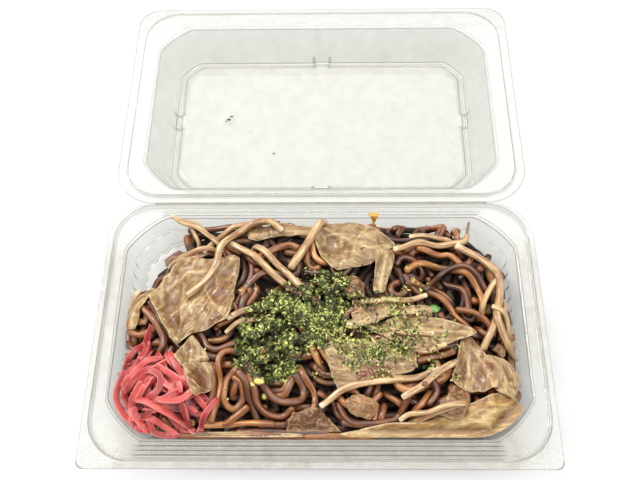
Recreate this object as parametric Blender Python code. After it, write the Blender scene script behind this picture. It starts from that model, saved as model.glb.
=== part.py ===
"""Yakisoba in its clear hinged pack, opened flat.

The tray and its lid are thin formed plastic shells joined along the tray's back edge.  The tray
holds a heap of fried noodles with pickled ginger, cabbage, pork and bean sprouts on top.
Frame: metres, +Z up, origin at the centre of the tray's underside, +Y towards the lid.
"""
import math

import bpy
import numpy as np

MM = 0.001

# ---- driving dimensions, millimetres ----
WIDTH = 200.0           # across both halves, flange to flange
TRAY_DEPTH = 126.0      # front edge to hinge line
LID_DEPTH = 125.0       # hinge line to far edge
HEIGHT = 20.0           # underside to the flange's top face, the same for both halves
SHEET = 0.5             # wall thickness
GAP = 0.3               # clearance between pieces that touch
HINGE_Y = TRAY_DEPTH / 2
HINGE_Z = HEIGHT + GAP / 2

LEDGE_DROP = 3.0        # tray: step from the flange down to the ledge
WALL_LINE = 10.0        # tray: height where the flutes start
FLUTE_DEPTH = 1.0
PLUG_RISE = 2.2         # lid: ridge that enters the tray when the lid is shut
PANEL_RISE = 1.6        # lid: panel's height over the ridge the lid stands on

HEAP_EDGE = 12.5        # height of the noodles at the wall
HEAP_RISE = 10.5        # how much higher they are in the middle
CAVITY_Y = 3.5          # middle of the tray's cavity
CAVITY_HALF = (91.0, 54.0)

SPROUT_RADIUS = 1.7
WALL_MARGIN = 1.6       # toppings to the wall, measured at its smooth part

# Tray rings from the lip inwards: half width, front y, back y, height,
# front corner (leg, exponent), back corner (leg, exponent), fluted.
# An exponent of 2 gives a round corner, and one near 1 a chamfer.
TRAY_RINGS = [
    (WIDTH / 2, -HINGE_Y, HINGE_Y - GAP / 2, HEIGHT, (3.0, 2.0), (20.0, 2.0), False),
    (97.3, -59.5, 62.2, HEIGHT, (19.0, 2.0), (18.5, 2.0), False),
    (96.6, -58.8, 61.5, HEIGHT - LEDGE_DROP, (18.5, 2.0), (18.0, 2.0), False),
    (91.5, -50.1, 57.1, HEIGHT - LEDGE_DROP, (18.0, 1.3), (18.0, 1.3), False),
    (88.2, -47.0, 53.8, WALL_LINE + 0.3, (17.0, 1.3), (17.0, 1.3), False),
    (87.6, -46.4, 53.2, WALL_LINE - 0.3, (16.5, 1.3), (16.5, 1.3), True),
    (85.2, -44.0, 50.8, 1.8, (15.5, 1.3), (15.5, 1.3), True),
    (83.2, -42.0, 48.8, SHEET, (14.5, 1.3), (14.5, 1.3), False),
]
WALL_RING = 4                   # the ring at the foot of the tray's smooth upper wall
TRAY_SEGMENTS = (23, 11, 4)     # along a long side, a short side and a corner

# Lid rings, as above, with y measured from the hinge line.
LID_RINGS = [
    (WIDTH / 2, GAP / 2, LID_DEPTH, HEIGHT, (20.0, 2.0), (11.0, 2.0), False),
    (95.6, 3.2, 121.2, HEIGHT, (17.5, 2.0), (18.5, 2.0), False),
    (95.1, 3.7, 120.7, HEIGHT + PLUG_RISE, (17.0, 2.0), (18.0, 2.0), False),
    (86.5, 6.8, 112.2, HEIGHT + PLUG_RISE, (16.5, 1.3), (16.5, 1.3), False),
    (77.6, 17.6, 102.2, SHEET, (10.5, 1.3), (10.5, 1.3), False),
    (76.2, 19.0, 100.8, SHEET, (10.0, 1.3), (10.0, 1.3), False),
    (75.2, 20.0, 99.8, SHEET + PANEL_RISE, (9.5, 1.3), (9.5, 1.3), False),
]
LID_SEGMENTS = (9, 6, 5)

# ---- toppings, millimetres: outlines and routes seen from above ----
CABBAGE_LEAVES = [
    [(-76, 12), (-62, -11), (-52, -5), (-40, 0), (-38, 16), (-37, 32), (-50, 30), (-63, 30)],
    [(-3, 45), (2, 52), (11, 52), (20, 50), (32, 42), (35, 38), (23, 28), (8, 25), (1, 31)],
    [(26, 34), (34, 32), (29, 14), (24, 14)],
    [(2, -12), (8, -31), (24, -27), (41, -22), (39, -8), (20, -9)],
    [(20, -2), (45, 3), (63, -2), (68, -6), (61, -10), (43, -14), (28, -8)],
    [(62, -7), (58, -20), (56, -27), (64, -32), (75, -30), (77, -24), (71, -15), (66, -7)],
    [(72, -15), (82, -18), (84, -25), (80, -34), (74, -31)],
    [(59, -39), (80, -33), (82, -40), (70, -45), (46, -46), (17, -46), (7, -44), (30, -42)],
    [(-77, 18), (-85, 11), (-86, -1), (-82, -2), (-79, 8), (-73, 15)],
    [(-60, -17), (-55, -10), (-49, -19), (-58, -21)],
    [(-56, -23), (-47, -21), (-46, -30), (-52, -33)],
]
# Folded cabbage: route and width.
CABBAGE_STRIPS = [
    ([(16, 2), (26, 7), (38, 6)], 4.5),
    ([(14, -2), (31, 3), (48, 5)], 4.5),
    ([(-33, 46), (-18, 47), (-2, 46)], 6.0),
]
PORK_SLICES = [
    [(-10, -40), (1, -39), (9, -46), (-2, -46.5), (-13, -46)],
    [(11, -36), (18, -33), (26, -37), (21, -41), (14, -41)],
    [(48, -40), (57, -30), (63, -37), (54, -42)],
    [(10, 17), (14, 21), (20, 19), (20, 13), (14, 12)],
    [(-76, 40), (-70, 46), (-65, 42), (-66, 36), (-73, 35)],
    [(75, -12), (78, -8), (82, -12), (79, -15)],
]
BEAN_SPROUTS = [
    [(-18, 46), (-27, 51), (-38, 43), (-46, 31), (-51, 20), (-60, 10)],
    [(-66, 48), (-58, 47), (-51, 42), (-45, 35)],
    [(-61, 49), (-56, 40), (-55, 29)],
    [(-71, 32), (-57, 33), (-45, 36)],
    [(-41, 39), (-30, 31), (-16, 18)],
    [(-31, 39), (-17, 26), (-6, 14)],
    [(2, 50), (-6, 37), (-13, 25)],
    [(-40, 1), (-31, 5), (-22, 7)],
    [(34, 34), (45, 38), (58, 39), (66, 41), (70, 48)],
    [(42, 43), (52, 44), (62, 42)],
    [(62, 36), (72, 33), (80, 28)],
    [(80, 24), (77, 16), (72, 8)],
    [(82, 22), (83, 14), (78, 4), (76, -4)],
    [(1, -39), (11, -31), (23, -28), (39, -26), (51, -24)],
    [(35, -35), (46, -30), (60, -20)],
    [(35, -44), (46, -41), (60, -38)],
    [(73, -5), (79, -7), (82, -13)],
]
GINGER_OUTLINE = [(-86, -40), (-87, -30), (-85, -20), (-76, -13), (-64, -14), (-54, -24),
                  (-49, -34), (-51, -43), (-60, -46), (-72, -45), (-80, -43)]


def material(name, color, roughness, transmission=0.0):
    """A Principled material of one colour."""
    made = bpy.data.materials.new(name)
    made.use_nodes = True
    shader = made.node_tree.nodes["Principled BSDF"]
    shader.inputs["Base Color"].default_value = (*color, 1.0)
    shader.inputs["Roughness"].default_value = roughness
    shader.inputs["Transmission Weight"].default_value = transmission
    shader.inputs["Metallic"].default_value = 0.0
    return made


def add_object(name, verts, faces, look):
    """Make an object of vertices in millimetres, with its origin at the frame's origin."""
    mesh = bpy.data.meshes.new(name)
    mesh.from_pydata([tuple(float(c) * MM for c in v) for v in verts], [], faces)
    mesh.materials.append(look)
    mesh.validate()
    mesh.shade_smooth()
    mesh.set_sharp_from_angle(angle=math.radians(35))
    obj = bpy.data.objects.new(name, mesh)
    bpy.context.scene.collection.objects.link(obj)
    return obj


# ---- the formed shells ----

def outline(half_x, y_front, y_back, front, back, segments, steps=1):
    """Points round a rectangle with shaped corners, counterclockwise from the front left."""
    n_long, n_short, n_corner = segments

    def corner(start, along, across, leg, power):
        points = []
        for i in range(n_corner * steps):
            turn = math.pi / 2 * i / (n_corner * steps)
            a = leg * math.sin(turn) ** (2 / power)
            b = leg * (1 - math.cos(turn) ** (2 / power))
            points.append((start[0] + a * along[0] + b * across[0],
                           start[1] + a * along[1] + b * across[1]))
        return points

    def side(start, end, count):
        count *= steps
        return [(start[0] + (end[0] - start[0]) * i / count,
                 start[1] + (end[1] - start[1]) * i / count) for i in range(count)]

    f_leg, f_power = front
    b_leg, b_power = back
    points = side((f_leg - half_x, y_front), (half_x - f_leg, y_front), n_long)
    points += corner((half_x - f_leg, y_front), (1, 0), (0, 1), f_leg, f_power)
    points += side((half_x, y_front + f_leg), (half_x, y_back - b_leg), n_short)
    points += corner((half_x, y_back - b_leg), (0, 1), (-1, 0), b_leg, b_power)
    points += side((half_x - b_leg, y_back), (b_leg - half_x, y_back), n_long)
    points += corner((b_leg - half_x, y_back), (-1, 0), (0, -1), b_leg, b_power)
    points += side((-half_x, y_back - b_leg), (-half_x, y_front + f_leg), n_short)
    points += corner((-half_x, y_front + f_leg), (0, -1), (1, 0), f_leg, f_power)
    return np.array(points)


def flute(points):
    """Push every second point out and the others in, across the outline."""
    ahead = np.roll(points, -1, axis=0) - np.roll(points, 1, axis=0)
    normal = np.stack([ahead[:, 1], -ahead[:, 0]], axis=1)
    normal /= np.linalg.norm(normal, axis=1)[:, None]
    wave = np.where(np.arange(len(points)) % 2 == 0, 0.5, -0.5) * FLUTE_DEPTH
    return points + normal * wave[:, None]


def lower_offsets(rings):
    """How far each ring of the underside lies outwards and down from its upper ring."""
    profile = [(r[0], r[3]) for r in rings] + [(0.0, rings[-1][3])]
    offsets = [(0.0, -SHEET)]
    for before, here, after in zip(profile, profile[1:], profile[2:]):
        normals = []
        for a, b in ((before, here), (here, after)):
            dx, dz = b[0] - a[0], b[1] - a[1]
            length = math.hypot(dx, dz)
            normals.append((-dz / length, dx / length))
        (ax, az), (bx, bz) = normals
        scale = SHEET / (1 + ax * bx + az * bz)
        offsets.append(((ax + bx) * scale, (az + bz) * scale))
    return offsets


def bridge(faces, outer, inner, flip):
    """Join two rings of vertex numbers, one of which may have twice as many as the other."""
    ratio_out = 2 if len(outer) > len(inner) else 1
    ratio_in = 2 if len(inner) > len(outer) else 1
    count = min(len(outer), len(inner))
    for i in range(count):
        a = [outer[(i * ratio_out + k) % len(outer)] for k in range(ratio_out + 1)]
        b = [inner[(i * ratio_in + k) % len(inner)] for k in range(ratio_in + 1)]
        if ratio_out == ratio_in:
            made = [(a[0], a[1], b[1]), (a[0], b[1], b[0])]
        elif ratio_out == 2:
            made = [(a[0], a[1], b[0]), (a[1], b[1], b[0]), (a[1], a[2], b[1])]
        else:
            made = [(a[0], b[1], b[0]), (a[0], a[1], b[1]), (a[1], b[2], b[1])]
        faces.extend(tuple(reversed(t)) if flip else t for t in made)


def shell(name, rings, segments, y_shift, look):
    """A formed sheet: rings of its upper face, and the same rings set off to its underside."""
    verts, faces = [], []

    def add_side(offsets):
        made = []
        for ring, (out, down) in zip(rings, offsets):
            half_x, y_front, y_back, z, front, back, fluted = ring
            front = (front[0] + 0.6 * out, front[1])
            back = (back[0] + 0.6 * out, back[1])
            points = outline(half_x + out, y_front - out, y_back + out, front, back, segments,
                             2 if fluted else 1)
            points = flute(points) if fluted else points
            first = len(verts)
            verts.extend((x, y + y_shift, z + down) for x, y in points)
            made.append(list(range(first, len(verts))))
        return made

    upper = add_side([(0.0, 0.0)] * len(rings))
    lower = add_side(lower_offsets(rings))
    for a, b in zip(upper, upper[1:]):
        bridge(faces, a, b, flip=False)
    for a, b in zip(lower, lower[1:]):
        bridge(faces, a, b, flip=True)
    bridge(faces, lower[0], upper[0], flip=False)
    faces.append(tuple(upper[-1]))
    faces.append(tuple(reversed(lower[-1])))
    return add_object(name, verts, faces, look)


# ---- the food ----

class Ground:
    """Height of what lies in the tray so far, on a grid of 1 mm."""

    def __init__(self):
        self.half = (100, 64)
        self.z = np.full((2 * self.half[0] + 1, 2 * self.half[1] + 1), SHEET)

    def cells(self, points):
        """Grid cells inside a triangle, and the weights of its corners there."""
        a, b, c = (np.array(p[:2]) for p in points)
        area = (b[0] - a[0]) * (c[1] - a[1]) - (b[1] - a[1]) * (c[0] - a[0])
        if abs(area) < 1e-6:
            return None
        low = np.floor(np.minimum(np.minimum(a, b), c)).astype(int)
        high = np.ceil(np.maximum(np.maximum(a, b), c)).astype(int)
        gx, gy = np.meshgrid(np.arange(low[0], high[0] + 1), np.arange(low[1], high[1] + 1),
                             indexing="ij")
        u = ((b[0] - gx) * (c[1] - gy) - (b[1] - gy) * (c[0] - gx)) / area
        v = ((c[0] - gx) * (a[1] - gy) - (c[1] - gy) * (a[0] - gx)) / area
        w = 1 - u - v
        inside = (u >= -0.02) & (v >= -0.02) & (w >= -0.02)
        if not inside.any():
            return None
        weights = np.stack([u[inside], v[inside], w[inside]], axis=1)
        return gx[inside] + self.half[0], gy[inside] + self.half[1], weights

    def cover(self, verts, faces):
        """Raise the ground to the top of a piece."""
        for face in faces:
            for k in range(1, len(face) - 1):
                corners = [verts[face[0]], verts[face[k]], verts[face[k + 1]]]
                found = self.cells(corners)
                if found is not None:
                    i, j, weights = found
                    heights = weights @ np.array([p[2] for p in corners])
                    np.maximum.at(self.z, (i, j), heights)

    def dilated(self):
        """The ground where each cell also takes its neighbours' height."""
        padded = np.pad(self.z, 1, mode="edge")
        rows, cols = self.z.shape
        return np.max([padded[i:i + rows, j:j + cols] for i in range(3) for j in range(3)], axis=0)

    def settle(self, verts, columns, under, slope):
        """Lift a piece's columns of vertices until its underside is clear of the ground.

        No column hangs lower than the others allow: a stiff piece bridges what lies lower.
        """
        verts = np.array(verts, dtype=float)
        columns = np.array(columns)
        count = columns.max() + 1
        plan = np.array([verts[columns == c, :2].mean(axis=0) for c in range(count)])
        reach = slope * np.linalg.norm(plan[:, None] - plan[None], axis=2)
        ground = self.dilated()
        base = np.zeros(count)
        for column in range(count):
            x, y, z = verts[columns == column].T
            i = np.rint(x).astype(int) + self.half[0]
            j = np.rint(y).astype(int) + self.half[1]
            base[column] = (ground[i, j] + GAP - z).max()
        base = (base[None] - reach).max(axis=1)
        verts[:, 2] += base[columns]
        for _ in range(30):
            lift = np.zeros(count)
            for face in under:
                for k in range(1, len(face) - 1):
                    ids = [face[0], face[k], face[k + 1]]
                    found = self.cells(verts[ids])
                    if found is None:
                        continue
                    i, j, weights = found
                    short = (ground[i, j] + GAP - weights @ verts[ids, 2]).max()
                    if short > 1e-4:
                        np.maximum.at(lift, columns[ids], short)
            if not lift.any():
                break
            verts[:, 2] += lift[columns]
        return verts


def smooth_route(points, count, closed=False):
    """A curve through the points, read at evenly numbered places."""
    points = np.array(points, dtype=float)
    spans = len(points) if closed else len(points) - 1
    if not closed:
        points = np.vstack([2 * points[0] - points[1], points, 2 * points[-1] - points[-2]])
    out = []
    for k in range(count):
        t = spans * k / (count if closed else count - 1)
        i = min(int(t), spans - 1)
        f = t - i
        if closed:
            p0, p1, p2, p3 = (points[(i + d) % len(points)] for d in (-1, 0, 1, 2))
        else:
            p0, p1, p2, p3 = points[i:i + 4]
        out.append(0.5 * (2 * p1 + (p2 - p0) * f + (2 * p0 - 5 * p1 + 4 * p2 - p3) * f ** 2
                          + (3 * p1 - p0 - 3 * p2 + p3) * f ** 3))
    return np.array(out)


def keep_inside(points, margin):
    """Draw points in towards the cavity's middle until they are clear of the tray's wall."""
    half_x, y_front, y_back, _, (leg, power), _, _ = TRAY_RINGS[WALL_RING]
    middle = np.array([0.0, (y_front + y_back) / 2])
    half = np.array([half_x, (y_back - y_front) / 2]) - margin
    kept = []
    for point in np.array(points, dtype=float):
        offset = point - middle
        while True:
            past = np.maximum((np.abs(offset) - half + leg) / leg, 0.0)
            if (past ** power).sum() <= 1:
                break
            offset *= 0.995
        kept.append(middle + offset)
    return np.array(kept)


def lumps(x, y, size, seed):
    """Soft unevenness between about -1 and 1, with bumps of the given size."""
    rng = np.random.default_rng(seed)
    total = 0.0
    for _ in range(5):
        angle = rng.uniform(0, math.pi)
        phase = rng.uniform(0, 2 * math.pi)
        wave = size * rng.uniform(0.8, 1.4)
        total += math.sin(2 * math.pi * (x * math.cos(angle) + y * math.sin(angle)) / wave + phase)
    return total / 2.5


def heap_height(x, y):
    """Top of the noodles: a flat crown that falls to the walls, low in the two left corners."""
    s = 1 - abs(x / CAVITY_HALF[0]) ** 4 - abs((y - CAVITY_Y) / CAVITY_HALF[1]) ** 4
    crown = HEAP_EDGE + HEAP_RISE * max(s, 0.0) ** 0.7
    under_ginger = 3.0 * math.exp(-((x + 78) / 22) ** 2 - ((y + 38) / 18) ** 2)
    empty_corner = 3.5 * math.exp(-((x + 80) / 20) ** 2 - ((y - 46) / 16) ** 2)
    uneven = 0.9 * lumps(x, y, 30.0, 3) + 0.7 * lumps(x, y, 13.0, 5)
    return crown - under_ginger - empty_corner + uneven


def heap(ground, look):
    """The noodles as one solid that fills the tray, drawn back from its back left corner."""
    segments = (17, 9, 4)
    corner = (15.0, 1.3)
    base = outline(83.0, -41.8, 48.4, corner, corner, segments)
    waist = outline(86.2, -45.0, 51.8, corner, corner, segments)
    rim = outline(90.4, -49.0, 56.0, (16.5, 1.3), (16.5, 1.3), segments)
    wall_top = HEIGHT - LEDGE_DROP
    height = np.array([heap_height(x, y) for x, y in rim])
    up_wall = np.clip((height - WALL_LINE) / (wall_top - WALL_LINE), 0, 1)[:, None]
    edge = waist + (rim - waist) * up_wall
    centre = np.array([0.0, CAVITY_Y])
    empty = np.exp(-((edge[:, 0] + 92) ** 2 + (edge[:, 1] - 36) ** 2) / 32.0 ** 2)
    uneven = np.array([0.012 * max(1 + lumps(x, y, 26.0, 8), 0.0) for x, y in edge])
    keep = (1 - 0.15 * empty - uneven)[:, None]

    verts, rings = [], []

    def add_ring(points, heights):
        first = len(verts)
        verts.extend((x, y, z) for (x, y), z in zip(points, heights))
        rings.append(list(range(first, len(verts))))

    add_ring(centre + (base - centre) * keep, [SHEET + 0.5] * len(base))
    add_ring(centre + (waist - centre) * keep, [8.0] * len(base))
    add_ring(centre + (edge - centre) * keep, height)
    for share in (0.96, 0.9, 0.83, 0.75, 0.66, 0.57, 0.48, 0.38, 0.27, 0.15):
        points = centre + (edge - centre) * keep * share
        add_ring(points, [heap_height(x, y) for x, y in points])
    faces = [tuple(reversed(rings[0]))]
    for a, b in zip(rings, rings[1:]):
        bridge(faces, a, b, flip=False)
    verts.append((centre[0], centre[1], heap_height(*centre)))
    last = rings[-1]
    faces += [(last[i], last[(i + 1) % len(last)], len(verts) - 1) for i in range(len(last))]
    ground.cover(verts, faces)
    return add_object("noodles", verts, faces, look)


def slab(ground, name, edge, shares, thickness, slope, look):
    """A piece laid on the ground: rings shrunk from its edge, its top set over its underside."""
    edge = keep_inside(edge, WALL_MARGIN)
    centre = edge.mean(axis=0)
    plan = [edge * share + centre * (1 - share) for share in shares]
    flat = np.vstack(plan + [centre[None]])
    count, rings = len(edge), len(shares)
    middle = len(flat) - 1

    def faces_of(first, flip):
        faces = []
        ids = [[first + r * count + i for i in range(count)] for r in range(rings)]
        for a, b in zip(ids, ids[1:]):
            bridge(faces, a, b, flip)
        for i in range(count):
            face = (ids[-1][i], ids[-1][(i + 1) % count], first + middle)
            faces.append(tuple(reversed(face)) if flip else face)
        return faces

    heights = np.array([thickness(x, y, share) for share, ring in zip(shares, plan)
                        for x, y in ring] + [thickness(*centre, 0.0)])
    under = np.column_stack([flat, np.zeros(len(flat))])
    over = np.column_stack([flat, heights])
    columns = np.tile(np.arange(len(flat)), 2)
    under_faces = faces_of(0, True)
    verts = ground.settle(np.vstack([under, over]), columns, under_faces, slope)
    faces = under_faces + faces_of(len(flat), False)
    bridge(faces, list(range(count)), list(range(len(flat), len(flat) + count)), False)
    ground.cover(verts, faces)
    return add_object(name, verts, faces, look)


def counterclockwise(points):
    """The outline in the direction that slab and bridge expect."""
    points = np.array(points, dtype=float)
    ahead = np.roll(points, -1, axis=0)
    area = (points[:, 0] * ahead[:, 1] - points[:, 1] * ahead[:, 0]).sum()
    return points if area > 0 else points[::-1]


def leaf(ground, name, points, seed, look):
    """A cabbage leaf: thin, wavy, following what lies under it."""
    edge = smooth_route(counterclockwise(points), 18, closed=True)

    def thickness(x, y, share):
        return 1.4 + 0.8 * (1 - share) + 0.7 * lumps(x, y, 14.0, seed)
    return slab(ground, name, edge, (1.0, 0.58), thickness, 0.6, look)


def strip(ground, name, route, width, seed, look):
    """A folded strip of cabbage, rounded over its route."""
    path = smooth_route(route, 6)
    along = np.gradient(path, axis=0)
    along /= np.linalg.norm(along, axis=1)[:, None]
    across = np.stack([-along[:, 1], along[:, 0]], axis=1) * width / 2
    edge = counterclockwise(np.vstack([path + across, (path - across)[::-1]]))

    def thickness(x, y, share):
        return 1.2 + 1.6 * (1 - share) + 0.3 * lumps(x, y, 12.0, seed)
    return slab(ground, name, edge, (1.0, 0.5), thickness, 0.4, look)


def slice_of_pork(ground, name, points, seed, look):
    """A thick chunk of fried pork with an uneven top."""
    edge = smooth_route(counterclockwise(points), 12, closed=True)

    def thickness(x, y, share):
        return 1.8 + 1.6 * (1 - share) + 0.6 * lumps(x, y, 9.0, seed)
    return slab(ground, name, edge, (1.0, 0.6), thickness, 0.4, look)


def ginger_heap(ground, look):
    """The heap of pickled ginger as one solid, up to its uneven outline."""
    edge = smooth_route(counterclockwise(GINGER_OUTLINE), 26, closed=True)

    def thickness(x, y, share):
        return 2.2 + 6.0 * (1 - share ** 2) + 0.8 * lumps(x, y, 15.0, 21) * (1 - share ** 4)
    return slab(ground, "pickled_ginger", edge, (1.0, 0.86, 0.66, 0.42, 0.2), thickness, 0.9, look)


def sprout(ground, name, route, look):
    """A bean sprout: a tube along its route, lying on the ground, with a thin root end."""
    sides = 5
    count = 3 + 2 * (len(route) - 1)
    path = keep_inside(smooth_route(route, count), SPROUT_RADIUS + WALL_MARGIN)
    along = np.gradient(path, axis=0)
    along /= np.linalg.norm(along, axis=1)[:, None]
    across = np.stack([-along[:, 1], along[:, 0]], axis=1)
    verts, columns, rings = [], [], []
    for i in range(count):
        end = min(i, count - 1 - i)
        radius = SPROUT_RADIUS * (0.6 if end == 0 else 1.0)
        first = len(verts)
        for k in range(sides):
            turn = 2 * math.pi * (k + 0.5) / sides - math.pi / 2
            side_step = path[i] + across[i] * radius * math.cos(turn)
            verts.append((*side_step, radius * math.sin(turn)))
            columns.append(i)
        rings.append(list(range(first, len(verts))))
    faces = [tuple(reversed(rings[0])), tuple(rings[-1])]
    for a, b in zip(rings, rings[1:]):
        bridge(faces, a, b, flip=False)
    verts = ground.settle(verts, columns, faces, 0.3)
    ground.cover(verts, faces)
    return add_object(name, verts, faces, look)


def build():
    clear = material("clear_plastic", (0.93, 0.95, 0.95), 0.08, transmission=0.9)
    brown = material("fried_noodle", (0.33, 0.17, 0.07), 0.4)
    pink = material("pickled_ginger", (0.75, 0.14, 0.13), 0.35)
    cabbage = material("cooked_cabbage", (0.62, 0.48, 0.27), 0.45)
    pork = material("fried_pork", (0.36, 0.19, 0.09), 0.5)
    pale = material("bean_sprout", (0.66, 0.48, 0.26), 0.35)

    shell("tray", TRAY_RINGS, TRAY_SEGMENTS, 0.0, clear)
    lid = shell("lid", LID_RINGS, LID_SEGMENTS, HINGE_Y, clear)
    hinge = bpy.data.objects.new("hinge_axis", None)
    bpy.context.scene.collection.objects.link(hinge)
    hinge.location = (0.0, HINGE_Y * MM, HINGE_Z * MM)
    lid.data.transform(hinge.matrix_basis.inverted())
    lid.parent = hinge

    ground = Ground()
    heap(ground, brown)
    ginger_heap(ground, pink)
    for number, points in enumerate(CABBAGE_LEAVES, 1):
        leaf(ground, f"cabbage_{number:02d}", points, 30 + number, cabbage)
    for number, (route, width) in enumerate(CABBAGE_STRIPS, 1):
        strip(ground, f"cabbage_strip_{number}", route, width, 50 + number, cabbage)
    for number, points in enumerate(PORK_SLICES, 1):
        slice_of_pork(ground, f"pork_{number}", points, 60 + number, pork)
    for number, route in enumerate(BEAN_SPROUTS, 1):
        sprout(ground, f"bean_sprout_{number:02d}", route, pale)


for old in list(bpy.data.objects):
    bpy.data.objects.remove(old, do_unlink=True)
build()
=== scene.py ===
import math

import bpy
import numpy as np
from mathutils import Matrix, Vector
from mathutils.bvhtree import BVHTree
from mathutils.geometry import delaunay_2d_cdt


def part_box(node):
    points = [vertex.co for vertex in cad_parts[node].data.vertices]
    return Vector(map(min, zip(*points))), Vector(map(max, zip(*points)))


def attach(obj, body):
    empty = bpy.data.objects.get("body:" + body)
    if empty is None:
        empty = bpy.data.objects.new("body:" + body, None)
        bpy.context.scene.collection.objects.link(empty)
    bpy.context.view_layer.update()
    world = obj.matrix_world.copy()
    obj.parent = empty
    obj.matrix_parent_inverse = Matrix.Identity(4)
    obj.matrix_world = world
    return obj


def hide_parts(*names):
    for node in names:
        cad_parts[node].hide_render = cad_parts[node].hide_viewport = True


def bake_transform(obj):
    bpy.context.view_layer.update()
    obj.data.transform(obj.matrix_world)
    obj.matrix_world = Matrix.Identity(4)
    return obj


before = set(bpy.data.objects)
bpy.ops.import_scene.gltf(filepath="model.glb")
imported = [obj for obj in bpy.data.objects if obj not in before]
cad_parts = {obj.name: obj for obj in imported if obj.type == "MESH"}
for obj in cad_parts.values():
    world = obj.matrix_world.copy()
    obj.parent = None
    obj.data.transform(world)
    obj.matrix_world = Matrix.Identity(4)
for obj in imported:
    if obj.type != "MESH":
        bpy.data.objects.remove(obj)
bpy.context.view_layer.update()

# Yakisoba in its clear hinged pack. Lengths are in millimetres, in the frame's axes, unless a
# comment says otherwise: x to the right, y to the back, the hinge along x at HINGE_Y.
MM = 0.001
SHEET = 0.36            # thickness of the formed plastic, millimetres
HEIGHT = 20.0           # underside to flange
HINGE_Y = 63.0
LEDGE_Z = 17.0          # the tray's ledge
PLUG_Z = 22.2           # the lid's plug ridge, lid open

# ---------------------------------------------------------------- camera, floor, light

CAMERA_AT = (6.66, -134.26, 350.85)
CAMERA_PITCH = 61.83    # degrees below the horizon
CAMERA_YAW = 2.178
CAMERA_ROLL = -2.072
CAMERA_LENS = 45.0


def add_camera():
    """The photo's camera, from its place and its turns."""
    pitch, yaw, roll = (math.radians(a) for a in (CAMERA_PITCH, CAMERA_YAW, CAMERA_ROLL))
    level = Matrix(((1, 0, 0), (0, -math.sin(pitch), -math.cos(pitch)),
                    (0, math.cos(pitch), -math.sin(pitch))))
    turned = Matrix.Rotation(roll, 3, "Z") @ level @ Matrix.Rotation(-yaw, 3, "Z")
    right, down, ahead = turned
    data = bpy.data.cameras.new("camera")
    data.lens = CAMERA_LENS
    data.sensor_width = 36.0
    data.clip_start = 0.01
    camera = bpy.data.objects.new("camera", data)
    axes = Matrix((right, -down, -ahead)).transposed()
    camera.matrix_world = Matrix.Translation([c * MM for c in CAMERA_AT]) @ axes.to_4x4()
    bpy.context.scene.collection.objects.link(camera)
    bpy.context.scene.camera = camera


def add_light(name, place, size, power, aim=(0.0, 0.03, 0.0)):
    data = bpy.data.lights.new(name, "AREA")
    data.shape = "RECTANGLE"
    data.size, data.size_y = size
    data.energy = power
    light = bpy.data.objects.new(name, data)
    light.location = place
    toward = (Vector(aim) - light.location).normalized()
    light.rotation_euler = toward.to_track_quat("-Z", "Y").to_euler()
    bpy.context.scene.collection.objects.link(light)


def add_world():
    world = bpy.data.worlds.new("studio")
    world.use_nodes = True
    shade = world.node_tree.nodes["Background"]
    shade.inputs["Color"].default_value = (1.0, 1.0, 1.0, 1.0)
    shade.inputs["Strength"].default_value = 0.6
    bpy.context.scene.world = world


# ---------------------------------------------------------------- materials

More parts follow.
